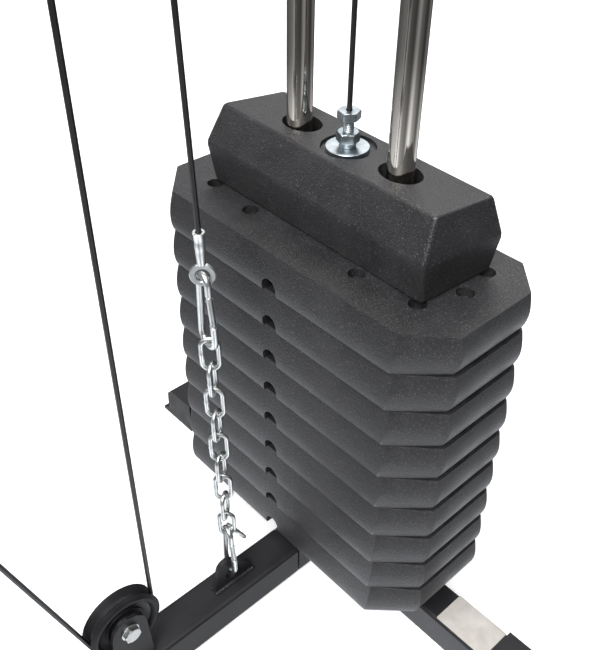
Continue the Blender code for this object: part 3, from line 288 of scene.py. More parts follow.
def studio_world():
    """White for the camera, even light for surfaces, and a banded room for mirrors."""
    world = bpy.data.worlds.new("studio")
    bpy.context.scene.world = world
    world.use_nodes = True
    tree = world.node_tree
    tree.nodes.clear()
    rays = add(tree, "LightPath").outputs
    way = add(tree, "SeparateXYZ", {"Vector": add(tree, "TexCoord").outputs["Generated"]}).outputs
    angle = add(tree, "Math", {0: way["Y"], 1: way["X"]}, operation="ARCTAN2").outputs["Value"]
    turn = add(tree, "MapRange", {"Value": angle, "From Min": -pi, "From Max": pi})
    stops = [(share, [tone * tint for tint in ROOM_TINT]) for share, tone in ROOM_BANDS]
    bands = ramp(tree, turn.outputs["Result"], stops, "EASE")
    below = add(tree, "MapRange", {"Value": way["Z"], "From Min": -0.36, "From Max": -0.72,
                                   "To Min": HORIZON, "To Max": FLOOR_GLOW}).outputs["Result"]
    lit = add(tree, "VectorMath", {0: bands, "Scale": below}, operation="SCALE").outputs["Vector"]
    above = add(tree, "MapRange", {"Value": way["Z"], "From Min": 0.30, "From Max": 0.80,
                                   "To Max": CEILING}, interpolation_type="SMOOTHSTEP")
    room = add(tree, "VectorMath", {0: lit, 1: above.outputs["Result"]}).outputs["Vector"]
    mirror = add(tree, "MixShader", {
        "Fac": rays["Is Glossy Ray"], 1: background(tree, (0.97, 0.98, 1.0, 1), 0.33),
        2: background(tree, room)}).outputs["Shader"]
    seen = add(tree, "MixShader", {"Fac": rays["Is Camera Ray"], 1: mirror,
                                   2: background(tree, (1, 1, 1, 1))}).outputs["Shader"]
    add(tree, "OutputWorld", {"Surface": seen})


studio_world()
print("world with", len(ROOM_BANDS), "bands")


# %% Lights
def softbox(name, place, target, size, power):
    """Rectangular soft light aimed at a point; positions are from the rods."""
    data = bpy.data.lights.new(name, "AREA")
    data.shape, data.energy = "RECTANGLE", power
    data.size, data.size_y = size
    place, target = Vector(place), Vector(target)
    linked(name, data).matrix_world = Matrix.Translation(place + FROM_RODS) @ (
        target - place).to_track_quat("-Z", "Y").to_matrix().to_4x4()


softbox("key_light", (1.6, -3.2, 4.4), (0.0, -0.1, 0.35), (2.4, 2.4), 360.0)
softbox("rear_light", (-2.0, 2.6, 3.6), (0.0, 0.0, 0.45), (2.4, 2.4), 60.0)
softbox("left_light", (-2.6, -1.6, 1.6), (0.0, -0.1, 0.35), (1.4, 1.8), 12.0)
softbox("top_light", (0.2, -1.3, 5.0), (0.0, 0.0, 0.4), (1.4, 1.4), 120.0)
bpy.context.scene.view_settings.view_transform = "Standard"
print(len(bpy.data.lights), "lights")

# %% [markdown]
# ## Weight stack
# The real weights are moulded shells with crisp top edges whose sides swell downwards. They could
# be bevelled boxes, but the swell changes with height, so they are skinned from one outline that
# follows two formulas, then bored and grooved by Booleans. One mesh serves all nine plates, since
# the real ones come from one mould.


# %% Outlines and skins
def skin(rings, closed=False):
    """Faces between rings of equal length, with end caps or closed on itself."""
    bm = bmesh.new()
    loops = [[bm.verts.new(p) for p in ring] for ring in rings]
    count = len(loops[0])
    pairs = list(zip(loops, loops[1:]))
    if closed:
        pairs.append((loops[-1], loops[0]))
    for a, b in pairs:
        for i in range(count):
            j = (i + 1) % count
            bm.faces.new((a[i], a[j], b[j], b[i]))
    if not closed:
        bm.faces.new(loops[0][::-1])
        bm.faces.new(loops[-1])
    return bm


def fillet(before, corner, after, radius):
    """A rounded corner's centre, the arms from it to both ends, and half the corner's angle."""
    before, corner, after = Vector(before), Vector(corner), Vector(after)
    a, b = (before - corner).normalized(), (after - corner).normalized()
    half = a.angle(b) / 2
    centre = corner + (a + b).normalized() * radius / sin(half)
    return (centre, corner + a * radius / tan(half) - centre,
            corner + b * radius / tan(half) - centre, half)


def rounded_polygon(points, radius, steps=4):
    """Closed outline with every corner rounded."""
    out = []
    for i, corner in enumerate(points):
        centre, start, end, _ = fillet(points[i - 1], corner, points[(i + 1) % len(points)], radius)
        out += [tuple(centre + start.lerp(end, k / steps).normalized() * radius)
                for k in range(steps + 1)]
    return out


def around(count, start=0.0, turn=tau, last=0):
    """(cos, sin) at equal steps of a turn; last = 1 adds the end of the turn."""
    return [(cos(a), sin(a)) for a in (start + turn * k / count for k in range(count + last))]


def lathe(profile, steps=32, closed=False):
    """Turn a (radius, height) profile about Z; points on the axis become one vertex."""
    bm = bmesh.new()
    rings = []
    for radius, height in profile:
        ring = around(steps) if radius > 1e-7 else [(0, 0)]
        rings.append([bm.verts.new((radius * c, radius * s, height)) for c, s in ring])
    pairs = list(zip(rings, rings[1:]))
    if closed:
        pairs.append((rings[-1], rings[0]))
    for a, b in pairs:
        if len(a) == 1 and len(b) == 1:
            continue
        for k in range(steps):
            n = (k + 1) % steps
            corners = [a[0]] if len(a) == 1 else [a[k], a[n]]
            corners += [b[0]] if len(b) == 1 else [b[n], b[k]]
            bm.faces.new(corners)
    return bm


print("skin and lathe ready")


# %% Cutting
def with_modifiers(obj):
    """Apply the object's modifiers to its mesh."""
    bpy.context.view_layer.update()
    evaluated = obj.evaluated_get(bpy.context.evaluated_depsgraph_get())
    mesh = bpy.data.meshes.new_from_object(evaluated)
    obj.modifiers.clear()
    old = obj.data
    obj.data = mesh
    bpy.data.meshes.remove(old)
    return obj


def cutter(radius, low, high, at=None, steps=40):
    """Round cutter along Z, or along the Z of the matrix."""
    profile = [(0, high), (radius, high), (radius, low), (0, low)]
    return to_object("cutter", lathe(profile, steps), weight_skin, at=at)


def carve(obj, cutters, edge=0.0, angle=38.0):
    """Cut the cutters out of obj, round the edges that are left, and keep large faces flat."""
    for tool in cutters:
        modifier = obj.modifiers.new("cut", "BOOLEAN")
        modifier.object, modifier.solver, modifier.operation = tool, "EXACT", "DIFFERENCE"
    if edge:
        soften(obj, edge, angle=angle)
    with_modifiers(obj)
    for tool in cutters:
        bpy.data.objects.remove(tool, do_unlink=True)
    obj.data.shade_smooth()
    obj.data.set_sharp_from_angle(angle=radians(40))
    weighted = obj.modifiers.new("flat_faces", "WEIGHTED_NORMAL")
    weighted.keep_sharp, weighted.weight = True, 100
    return with_modifiers(obj)


print("cutting tools ready")


# %% Riding and slots
def placed(obj, body, *nodes):
    """Ride on the body, and stand for the nodes if any are given."""
    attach(obj, body)
    if nodes:
        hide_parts(*nodes)
    return obj


def piece(name, bm, material, body, *nodes, at=None, sharp=35.0):
    """to_object and placed in one call."""
    return placed(to_object(name, bm, material, sharp, at), body, *nodes)


# %% Weight plates
ROD_X = 0.065
PLATES, PLATES_LIFTED, PITCH = 9, 5, 0.0431
STACK_BOTTOM = 0.0891
STACK_TOP = STACK_BOTTOM + PLATES * PITCH
SEAM = 0.0003  # gap between two plates
BORE, DIMPLE = 0.0195, 0.0084  # radii
CHANNEL_RADIUS, CHANNEL_LIFT = 0.0098, 0.0068
DIMPLES = ((0.138, -0.0495), (0.073, -0.0564), (0.155, -0.0066), (0.148, 0.0318))


def plate_ring(share, height):
    """Outline of a plate at a share of its height: long faces and ends swell by two formulas."""
    face = 0.0031 * (1 - share) + 0.0027 * sin(pi * share ** 0.6)
    end = -0.0039 * (1 - share) ** 3 + 0.0034 * sin(pi * share ** 0.9)
    half, front, rear = 0.1930 + end, -0.0924 - face, 0.0680 + face
    fx, fy = 0.0393 + 0.4 * end, 0.0350 + face
    rx, ry = 0.0320 + 0.4 * end, 0.0320 + face
    corners = [(half, front + fy), (half, rear - ry), (half - rx, rear), (rx - half, rear),
               (-half, rear - ry), (-half, front + fy), (fx - half, front), (half - fx, front)]
    return [(x, y, share * height) for x, y in rounded_polygon(corners, 0.0030, 3)]


def channel_cutter():
    """Arched channel across the plate's underside for the selector pin."""
    arch = [(CHANNEL_RADIUS * c, CHANNEL_LIFT + CHANNEL_RADIUS * s)
            for c, s in around(20, 0, pi, 1)]
    outline = [(CHANNEL_RADIUS, -0.01)] + arch + [(-CHANNEL_RADIUS, -0.01)]
    rings = [[(x, y, z) for x, z in outline] for y in (0.12, -0.12)]
    return to_object("cutter", skin(rings), weight_skin)


def plate_object():
    """One moulded plate, standing on z = 0: bores, the pin's channel and eight shallow dimples."""
    height = PITCH - SEAM
    shares = [0.0, 0.02, 0.06, 0.12, 0.2, 0.3, 0.42, 0.54, 0.66, 0.78, 0.89, 1.0]
    plate = to_object("plate", skin([plate_ring(share, height) for share in shares]), weight_skin)
    tools = [cutter(BORE, -0.01, 0.06, shift(side * ROD_X, 0, 0)) for side in (-1, 1)]
    tools += [cutter(0.014, -0.01, 0.06), channel_cutter()]
    for x, y in DIMPLES:
        tools += [cutter(DIMPLE, height - 0.010, height + 0.01, shift(side * x, y, 0), 24)
                  for side in (-1, 1)]
    return carve(plate, tools, 0.0008, 40)


plate = plate_object()
for number in range(1, PLATES + 1):
    copy = plate if number == 1 else linked("plate", plate.data)
    copy.name = f"moulded_plate_{number}"
    copy.location.z = STACK_TOP - number * PITCH
    placed(copy, "lifted_stack" if number <= PLATES_LIFTED else "frame", f"weight_plate_{number}")
print("plate faces", len(plate.data.polygons))


# %% Top weight
def spin(angle, axis="Z"):
    """Matrix that turns by degrees about an axis."""
    return Matrix.Rotation(radians(angle), 4, axis)


HEAD_HEIGHT, RIDGE_HEIGHT = 0.0760, 0.0370
HEAD_TOP = STACK_TOP + HEAD_HEIGHT
HEAD_PLACE = shift(0, 0.0012, 0) @ spin(-1.6)
# Corners in plan at the base, the ridge and the top: front left, front right, rear right, rear left
HEAD_BASE = ((-0.1443, -0.0447), (0.1414, -0.0489), (0.1472, 0.0385), (-0.1380, 0.0440))
HEAD_RIDGE = ((-0.1585, -0.0442), (0.1412, -0.0516), (0.1532, 0.0410), (-0.1440, 0.0480))
HEAD_CROWN = ((-0.1500, -0.0270), (0.1350, -0.0345), (0.1452, 0.0295), (-0.1318, 0.0400))
# Height of each ring, and how far it is drawn in to round the edges
HEAD_RINGS = ((0.0, 0.0012), (0.0012, 0.0), (0.0345, 0.0), (0.0362, 0.0003), (0.0378, 0.0003),
              (0.0395, 0.0), (0.0735, 0.0), (0.0750, 0.0005), (0.0757, 0.0013),
              (HEAD_HEIGHT, 0.0026))


def head_ring(height, inset):
    """Rounded outline of the top weight at a height, drawn in by an inset."""
    if height < RIDGE_HEIGHT:
        low, high, share = HEAD_BASE, HEAD_RIDGE, height / RIDGE_HEIGHT
    else:
        low, high = HEAD_RIDGE, HEAD_CROWN
        share = (height - RIDGE_HEIGHT) / (HEAD_HEIGHT - RIDGE_HEIGHT)
    corners = []
    for a, b in zip(low, high):
        x, y = Vector(a).lerp(Vector(b), share)
        corners.append((x - copysign(inset, x), y - copysign(inset, y)))
    return [(x, y, STACK_TOP + 0.0004 + height) for x, y in rounded_polygon(corners, 0.0040, 4)]


def top_weight():
    """Bar with sloping faces above and below a ridge, loose and a little turned on the rods."""
    head = to_object("top_weight", skin([head_ring(*ring) for ring in HEAD_RINGS]), weight_skin)
    oval = shift(0.0008, 0, 0) @ Matrix.Diagonal((1.14, 0.88, 1, 1))
    low, high = STACK_TOP - 0.01, HEAD_TOP + 0.01
    tools = []
    for side in (-1, 1):
        hole = HEAD_PLACE @ shift(side * ROD_X, 0, 0) @ oval
        tools.append(cutter(BORE, low, high, hole, 56))
    tools += [cutter(0.009, low, high), cutter(0.0262, HEAD_TOP - 0.003, high, HEAD_PLACE, 64)]
    return placed(carve(head, tools, 0.0010, 24), "lifted_stack", "weight_head")


head = top_weight()
print("top weight faces", len(head.data.polygons))

# %% [markdown]
# ## Rods, bolt and pin
# The rods are drawn and plated tubes, so they are turned with many sides. The cable's end sits in
# a hollow bolt: washer, nut, threaded shank and hexagon head are separate pieces, as on the real
# stack, where the nut locks the length of the cable. A bump could fake the thread, but it shows at
# this distance, so its rings follow a helix.

# %% Guide rods and bumpers
ROD_RADIUS, CHAMFER = 0.0125, 0.0015
ROD_END, ROD_LOW, ROD_HIGH = ROD_RADIUS - CHAMFER, 0.0043, 1.9697
ROD_PROFILE = [(0, ROD_HIGH), (ROD_END, ROD_HIGH), (ROD_RADIUS, ROD_HIGH - CHAMFER),
               (ROD_RADIUS, ROD_LOW + CHAMFER), (ROD_END, ROD_LOW), (0, ROD_LOW)]
low, high = 0.0474, 0.0888
BUMPER = [(0.0129, low + 0.001), (0.0129, high - 0.001), (0.0139, high), (0.0255, high),
          (0.0272, high - 0.0022), (0.0275, high - 0.0055), (0.0262, high - 0.0150),
          (0.0262, low + 0.0150), (0.0275, low + 0.0055), (0.0272, low + 0.0022), (0.0255, low),
          (0.0139, low)]
for side, x in (("left", -ROD_X), ("right", ROD_X)):
    at = shift(x, 0, 0)
    piece(f"{side}_plated_rod", lathe(ROD_PROFILE, 64), chrome, "frame", f"{side}_guide_rod", at=at)
    piece(f"{side}_rubber_bumper", lathe(BUMPER, 48, closed=True), rubber, "frame",
          f"{side}_rod_bumper", at=at)
print("rods and bumpers")


# %% Nuts, rings and threads
def flat_ring(outer, inner, low, high, edge=0.0004, steps=48):
    """Flat ring with softened edges, such as a washer."""
    profile = [(inner, low), (outer - edge, low), (outer, low + edge), (outer, high - edge),
               (outer - edge, high), (inner + edge, high), (inner, high - edge)]
    return lathe(profile, steps, closed=True)


def nut(across, low, high, both=True):
    """Hexagon nut, or a bolt head if only its top is chamfered: hexagons cut off by circles."""
    flat = across / 2
    corner = flat / cos(pi / 6)
    cut = corner - flat
    chamfer = [(0, flat * 0.985), (cut * 0.3, flat + cut * 0.55), (cut * 0.62, corner)]
    sections = [(low + rise, limit) for rise, limit in chamfer] if both else [(low, corner)]
    sections += [(high - rise, limit) for rise, limit in reversed(chamfer)]
    rings = []
    for height, limit in sections:
        ring = []
        for angle in (tau * k / 48 for k in range(48)):
            reach = min(flat / cos((angle + pi / 6) % (pi / 3) - pi / 6), limit)
            ring.append((reach * cos(angle), reach * sin(angle), height))
        rings.append(ring)
    return skin(rings)


def thread(radius, low, high, pitch=0.00175, steps=24):
    """Threaded stud: rings whose radius follows a helix."""
    rows = int((high - low) / pitch * 6)
    rings = []
    for z in (low + (high - low) * row / rows for row in range(rows + 1)):
        depths = [0.0018 * abs((z / pitch + k / steps) % 1.0 - 0.5) for k in range(steps)]
        rings.append([((radius - depth) * c, (radius - depth) * s, z)
                      for depth, (c, s) in zip(depths, around(steps))])
    return skin(rings)


def joined(*parts):
    """One bmesh from several."""
    whole = bmesh.new()
    for part in parts:
        mesh = bpy.data.meshes.new("part")
        part.to_mesh(mesh)
        part.free()
        whole.from_mesh(mesh)
        bpy.data.meshes.remove(mesh)
    return whole


print("rings, nuts and threads ready")

# %% Stack bolt
SHANK_TOP, SHANK_END, SHANK = HEAD_TOP - 0.0028, HEAD_TOP - 0.0995, 0.0050
piece("stack_washer", flat_ring(0.0205, 0.0066, HEAD_TOP - 0.0026, HEAD_TOP + 0.0014), bolt_zinc,
      "lifted_stack", "stack_bolt")
piece("stack_bolt_shank", joined(
    thread(0.0052, HEAD_TOP - 0.0026, HEAD_TOP + 0.0285),
    lathe([(0, SHANK_TOP), (SHANK, SHANK_TOP), (SHANK, SHANK_END), (0, SHANK_END)], 32)),
    bolt_zinc, "lifted_stack")
piece("stack_lock_nut", nut(0.019, HEAD_TOP + 0.0062, HEAD_TOP + 0.0158), bolt_zinc, "lifted_stack",
      at=spin(12), sharp=25)
piece("stack_collar", flat_ring(0.0078, 0.0056, HEAD_TOP + 0.0015, HEAD_TOP + 0.0061), bolt_zinc,
      "lifted_stack")
hex_head = to_object("stack_bolt_head", nut(0.019, HEAD_TOP + 0.0280, HEAD_TOP + 0.0362), bolt_zinc,
                     25, spin(20))
carve(hex_head, [cutter(0.0031, HEAD_TOP + 0.0330, HEAD_TOP + 0.05, steps=24)])
placed(hex_head, "lifted_stack")
print("stack bolt up to", round(HEAD_TOP + 0.0362, 4))

# %% Selector rod and pin
# Turn a piece made about Z to lie along X or Y
ALONG_X = Matrix(((0, 0, 1), (1, 0, 0), (0, 1, 0))).to_4x4()
ALONG_Y = Matrix(((1, 0, 0), (0, 0, -1), (0, 1, 0))).to_4x4()
PIN_SHAFT = [(0, 0.026), (0.0028, 0.026), (0.0045, 0.0225), (0.0045, -0.0760), (0, -0.0760)]
PIN_KNOB = [(0, -0.0762), (0.0080, -0.0762), (0.0088, -0.0772), (0.0088, -0.0800),
            (0.0120, -0.0830), (0.0142, -0.0880), (0.0150, -0.0950), (0.0146, -0.1020),
            (0.0128, -0.1065), (0.0090, -0.1086), (0, -0.1090)]


def pin_place(number):
    """Middle of the selector pin in the channel under a plate, counted from the top."""
    return shift(0, 0, STACK_TOP - number * PITCH + SEAM + 0.0045) @ ALONG_Y


top, low = STACK_TOP - SEAM, STACK_BOTTOM + 0.006
rod = to_object("drilled_rod", lathe([(0, top), (0.0115, top), (0.012, top - 0.0005),
                                      (0.012, low + 0.004), (0.008, low), (0, low)], 48), chrome)
carve(rod, [cutter(0.0057, -0.02, 0.02, pin_place(n), 24) for n in range(1, PLATES)], 0.0004)
placed(rod, "lifted_stack", "selector_rod")
at = pin_place(PLATES_LIFTED)
piece("pin_shaft", lathe(PIN_SHAFT, 32), zinc, "selector_pin", at=at)
piece("pin_knob", lathe(PIN_KNOB, 48), black_plastic, "selector_pin", "selector_pin", at=at)
print("selector pin at", [round(c, 4) for c in at.translation])

# %% [markdown]
# ## Cables
# Both cables are steel rope in a smooth black sheath, swept along the same lines as in the CAD:
# arcs in the pulley grooves and straight falls between them. A curve object with a bevel would
# look the same. A fall whose end moves with a joint keeps its place and rides on no body.


# %% Swept bars
def sweep(points, radius, sides=16, closed=False, round_end=0.0):
    """Round bar along points, without twist; radius is one number or one per point."""
    points = [Vector(p) for p in points]
    radii = list(radius) if isinstance(radius, (list, tuple)) else [radius] * len(points)
    if round_end:
        first, last = points[0], points[-1]
        back, out = (first - points[1]).normalized(), (last - points[-2]).normalized()
        points = [first + back * round_end] + points + [last + out * round_end]
        radii = [radii[0] - round_end] + radii + [radii[-1] - round_end]
    count = len(points)
    tangents = []
    for i in range(count):
        a = points[i - 1] if closed or i else points[0]
        b = points[(i + 1) % count] if closed or i < count - 1 else points[-1]
        tangents.append((b - a).normalized())
    normal = tangents[0].orthogonal().normalized()
    if abs(tangents[0].x) < 0.9:
        normal = (Vector((1, 0, 0)) - tangents[0] * tangents[0].x).normalized()
    rings = []
    for point, tangent, reach in zip(points, tangents, radii):
        normal = (normal - tangent * normal.dot(tangent)).normalized()
        side = tangent.cross(normal)
        rings.append([point + reach * (c * normal + s * side) for c, s in around(sides)])
    return skin(rings, closed)


def arc(centre, radius, start, end, steps):
    """Points in the gym's middle plane, degrees from the rear towards the top."""
    angles = [radians(start + (end - start) * i / steps) for i in range(steps + 1)]
    return [Vector((0, centre[0] + radius * cos(a), centre[1] + radius * sin(a))) for a in angles]


def line(start, end, steps):
    """Points from start to end, without the first one."""
    start, end = Vector(start), Vector(end)
    return [start.lerp(end, (i + 1) / steps) for i in range(steps)]


print("sweep, arc and line ready")

# %% Cable routes
CABLE, GROOVE = 0.0024, 0.038  # radii of the cable and of its middle in a groove
GAP = 0.0005  # between two runs
TOP_Z = 1.9235
FRONT_FALL_Y = -0.2667
BLOCK_Y, REAR_FALL_Y = FRONT_FALL_Y + GROOVE, FRONT_FALL_Y + GROOVE + GROOVE
BLOCK_LOW_Z, BLOCK_HIGH_Z = 1.150, 1.255
LAT_PULLEY_Y = -1.122
LAT_BAR_Y, LAT_BAR_Z = LAT_PULLEY_Y - GROOVE, 1.775
UPRIGHT_Y = -0.780
LOW_PULLEY, PRESS_PULLEY = (FRONT_FALL_Y - GROOVE, 0.1110), (UPRIGHT_Y, 1.41646)
PRESS_LEAN = 16.87  # degrees, the lean of the run between them
PRESS_PIVOT = (-0.860, 1.900)
EYE = (-0.1702, 0.4904)  # the ferrule's eye, where the chain starts


def cable(name, points, cad_node, moving=None):
    """Sheathed rope along points; it rides on the frame, or keeps its place on no body if a moving
    body is named.
    """
    rope = to_object(name, sweep(points, CABLE), sheath)
    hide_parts(cad_node)
    if moving:
        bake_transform(rope)
    else:
        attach(rope, "frame")


def at_height(y, z):
    return Vector((0, y, z))


def pulley_run(first, last):
    """Over two top pulleys at the same height."""
    return arc((first, TOP_Z), GROOVE, 180, 90, 16) + arc((last, TOP_Z), GROOVE, 90, 0, 16)


print("falls at y", [round(y, 4) for y in (LAT_BAR_Y, FRONT_FALL_Y, REAR_FALL_Y, 0)])

# %% High cable
BAR_GRIP, BOLT_GRIP = 0.031, 0.0332  # how high above bar and stack the cable is held
bar_end, bolt_top = [at_height(y, z) for y, z in (
    (LAT_BAR_Y, LAT_BAR_Z + BAR_GRIP), (0, HEAD_TOP + BOLT_GRIP))]
cable("lat_fall_rope", [bar_end] + line(bar_end, (0, LAT_BAR_Y, TOP_Z - GAP), 12), "lat_fall_cable",
      "lat_bar")
cable("front_top_rope", pulley_run(LAT_PULLEY_Y, FRONT_FALL_Y - GROOVE), "high_cable_front_run")
down = [at_height(FRONT_FALL_Y, TOP_Z - GAP)]
down += line(down[0], (0, FRONT_FALL_Y, BLOCK_HIGH_Z + 0.01), 40)
loop = arc((BLOCK_Y, BLOCK_HIGH_Z), GROOVE, 180, 360, 28)
rise = line(loop[-1], (0, REAR_FALL_Y, TOP_Z - GAP), 40)
cable("block_hanging_rope", down + loop + rise, "block_upper_cable", "floating_block")
cable("rear_top_rope", pulley_run(REAR_FALL_Y + GROOVE, -GROOVE), "high_cable_rear_run")
cable("stack_fall_rope", [bolt_top] + line(bolt_top, (0, 0, TOP_Z - GAP), 50), "stack_fall_cable",
      "lifted_stack")
print("high cable in five runs")

# %% Low cable
mouth = at_height(EYE[0] - 0.0009, EYE[1] + 0.0380)
cable("chain_rope", [mouth] + line(mouth, (0, REAR_FALL_Y, BLOCK_LOW_Z - GAP), 40),
      "low_cable_rear_fall", "floating_block")
loop = arc((BLOCK_Y, BLOCK_LOW_Z), GROOVE, 0, 180, 28)
cable("low_front_rope", loop + line(loop[-1], (0, FRONT_FALL_Y, LOW_PULLEY[1] + GAP), 50),
      "low_cable_front_fall", "floating_block")
cable("press_run_rope", arc(LOW_PULLEY, GROOVE, 0, PRESS_LEAN - 180, 30)
      + arc(PRESS_PULLEY, GROOVE, PRESS_LEAN, 90, 16), "low_cable_press_run")
level = PRESS_PULLEY[1] + GROOVE
start, end = at_height(PRESS_PULLEY[0] - GAP, level), at_height(PRESS_PIVOT[0] + 0.040, level)
cable("press_pull_rope", [start] + line(start, end, 10), "press_pull_cable", "press_arm")
print("low cable in four runs")

# %% [markdown]
# ## Pulleys
# Each sheave is one turned moulding with a groove, a sunk web and a hub that holds a sealed
# bearing. A torus cut from a cylinder would give the groove, but one profile gives the steps of
# the web as well. The axle is a hexagon bolt with washers and a lock nut at the far side, since
# pulley brackets are bolted through.

# %% Sheaves
HALF, RIM = 0.011, 0.0415
SHEAVE = [(0.0096, HALF - 0.0006), (0.0120, HALF), (0.0135, HALF - 0.0008), (0.0146, 0.0070),
          (0.0160, 0.0060), (0.0200, 0.0060), (0.0206, 0.0074), (0.0232, 0.0074), (0.0238, 0.0056),
          (0.0285, 0.0056), (0.0312, 0.0068), (0.0335, HALF - 0.0010), (0.0350, HALF),
          (0.0375, HALF), (0.0400, HALF - 0.0014), (RIM, 0.0085), (RIM, 0.0078), (0.0400, 0.0058),
          (0.0368, 0.0036), (0.0353, 0.0018)]
RACE = [(0.0053, 0.0098), (0.0056, 0.0102), (0.0070, 0.0102), (0.0072, 0.0097), (0.0083, 0.0097),
        (0.0085, 0.0102), (0.0095, 0.0102)]


def mirrored(profile):
    """A profile and its mirror image below z = 0."""
    return profile + [(radius, -height) for radius, height in reversed(profile)]


def sheave(name, y, z):
    """Grooved wheel about X with a stepped, sunk web, and its steel bearing."""
    at = shift(0, y, z) @ ALONG_X
    piece(name + "_sheave", lathe(mirrored(SHEAVE), 80, closed=True), black_plastic, name, name,
          at=at, sharp=28)
    piece(name + "_bearing", lathe(mirrored(RACE), 40, closed=True), zinc, name, at=at)


print("sheaves are", 2 * RIM, "across")

# %% Axle bolts
TUBE, BRACKET_HALF = 0.045, 0.0155


def axle_set(name, y, z, body, turn, out):
    """Hexagon bolt, two washers and a lock nut through a bracket that reaches out to both sides."""
    at = shift(0, y, z) @ ALONG_X @ spin(turn)
    shaft = [(0, out + 0.0012), (0.0049, out + 0.0012), (0.0049, -out - 0.0085),
             (0.0040, -out - 0.0095), (0, -out - 0.0095)]
    piece(name + "_axle", lathe(shaft, 32), zinc, body, at=at)
    for low, high in ((out + 0.0001, out + 0.0013), (-out - 0.0013, -out - 0.0001)):
        piece(name + "_washer", flat_ring(0.0105, 0.0050, low, high, 0.0002, 40), zinc, body, at=at)
    piece(name + "_bolt_head", nut(0.0172, out + 0.0013, out + 0.0070, both=False), zinc, body,
          at=at, sharp=25)
    piece(name + "_lock_nut", joined(nut(0.0172, -out - 0.0072, -out - 0.0013), lathe(
        [(0.0050, -out - 0.0071), (0.0068, -out - 0.0071), (0.0064, -out - 0.0088),
         (0.0050, -out - 0.0088)], 32, closed=True)), zinc, body, at=at, sharp=25)


for name, y, z, holder in (("lat_pulley", LAT_PULLEY_Y, TOP_Z, "frame"),
                           ("front_top_pulley", FRONT_FALL_Y - GROOVE, TOP_Z, "frame"),
                           ("middle_top_pulley", REAR_FALL_Y + GROOVE, TOP_Z, "frame"),
                           ("stack_top_pulley", -GROOVE, TOP_Z, "frame"),
                           ("block_upper_pulley", BLOCK_Y, BLOCK_HIGH_Z, "floating_block"),
                           ("block_lower_pulley", BLOCK_Y, BLOCK_LOW_Z, "floating_block"),
                           ("low_pulley", *LOW_PULLEY, "frame"),
                           ("press_pulley", *PRESS_PULLEY, "frame")):
    sheave(name, y, z)
    # Each bolt stops at its own angle; the press pulley's goes through the upright
    out = TUBE / 2 if name == "press_pulley" else BRACKET_HALF
    axle_set(name, y, z, holder, len(name) * 7.0, out)
print("eight pulleys")

# %% Floating block
STRAP = 0.021  # half a strap's width
# A rounded edge on a sheet: how far each ring is from the middle, and how far it is drawn in
SHEET_EDGE = ((-0.002, 0.0004), (-0.0016, 0.0), (0.0016, 0.0), (0.002, 0.0004))


def floating_block_plates():
    """Two galvanised straps that carry the two moving pulleys."""
    middle, reach = (BLOCK_HIGH_Z + BLOCK_LOW_Z) / 2, (BLOCK_HIGH_Z - BLOCK_LOW_Z) / 2
    outline = [(STRAP * c, reach + STRAP * s) for c, s in around(16, 0, pi, 1)]
    outline += [(-u, -v) for u, v in outline]
    for side, nodes in ((-1, []), (1, ["floating_block"])):
        x = side * (BRACKET_HALF - 0.002)
        rings = [[(x + side * dx, BLOCK_Y + y * (1 - inset / STRAP),
                   middle + z * (1 - inset / (reach + STRAP))) for y, z in outline]
                 for dx, inset in SHEET_EDGE]
        piece("block_strap", skin(rings), zinc, "floating_block", *nodes)


floating_block_plates()
print("floating block")

# %% [markdown]
# ## Anchor chain
# The free end of the low cable is made fast to the base: a crimped ferrule with a flat eye, a snap
# hook, welded chain links and a second hook on the lug. An array of one link along a curve is the
# quick way, but this is the gym's finest metalwork and every link hangs at its own turn, so each is
# its own swept loop of round wire that hangs in the one above.

# %% Ferrule
LUG_Y, LUG_Z = -0.161, 0.0800
HOOK_WIRE, LINK_WIRE, LINK_PITCH, LINKS = 0.0032, 0.0024, 0.0312, 9
EYE_HOLE, HOOK_LENGTHS = 0.0064, (0.084, 0.0762)
# The chain's own axes: z = 0 is the middle of the eye, and the lug lies straight below
heading = Vector((0, LUG_Y - EYE[0], LUG_Z - EYE[1])).normalized()
CHAIN = shift(0, *EYE) @ Vector((0, 0, -1)).rotation_difference(
    heading).to_matrix().to_4x4()
UPPER_HOOK_Z = 2 * HOOK_WIRE + 0.0024 - EYE_HOLE
FIRST_LINK_Z = UPPER_HOOK_Z - HOOK_LENGTHS[0] + 2 * HOOK_WIRE + 0.0008 + LINK_WIRE
LAST_BOTTOM = FIRST_LINK_Z - LINKS * LINK_PITCH - 2 * LINK_WIRE + 0.0015
LOWER_HOOK_Z = LAST_BOTTOM + LINK_WIRE + 2 * HOOK_WIRE + 0.0008
BORE_RADIUS = CABLE + 0.0003
FERRULE = [(BORE_RADIUS, 0.0375), (BORE_RADIUS, 0.0427), (0.0032, 0.0432), (0.0050, 0.0432),
           (0.0055, 0.0426), (0.0054, 0.0419), (0.0048, 0.0410), (0.0047, 0.0360),
           (0.0044, 0.0345), (0.0047, 0.0330), (0.0047, 0.0270), (0.0043, 0.0250),
           (0.0045, 0.0230), (0.0040, 0.0160), (0.0038, 0.0108), (0, 0.0108), (0, 0.0370)]
piece("crimped_ferrule", lathe(FERRULE, 40), zinc, "frame", "cable_ferrule", at=CHAIN)
piece("ring_eye", flat_ring(0.0116, EYE_HOLE, -0.0018, 0.0018, 0.0007, 56), zinc, "frame",
      at=CHAIN @ spin(47) @ ALONG_Y)
print("chain from", EYE, "to", (LUG_Y, LUG_Z))

# %% Snap hooks
RIVET = [(0, 0.0034), (0.0008, 0.0034), (0.0013, 0.0029), (0.0013, -0.0029), (0.0008, -0.0034),
         (0, -0.0034)]


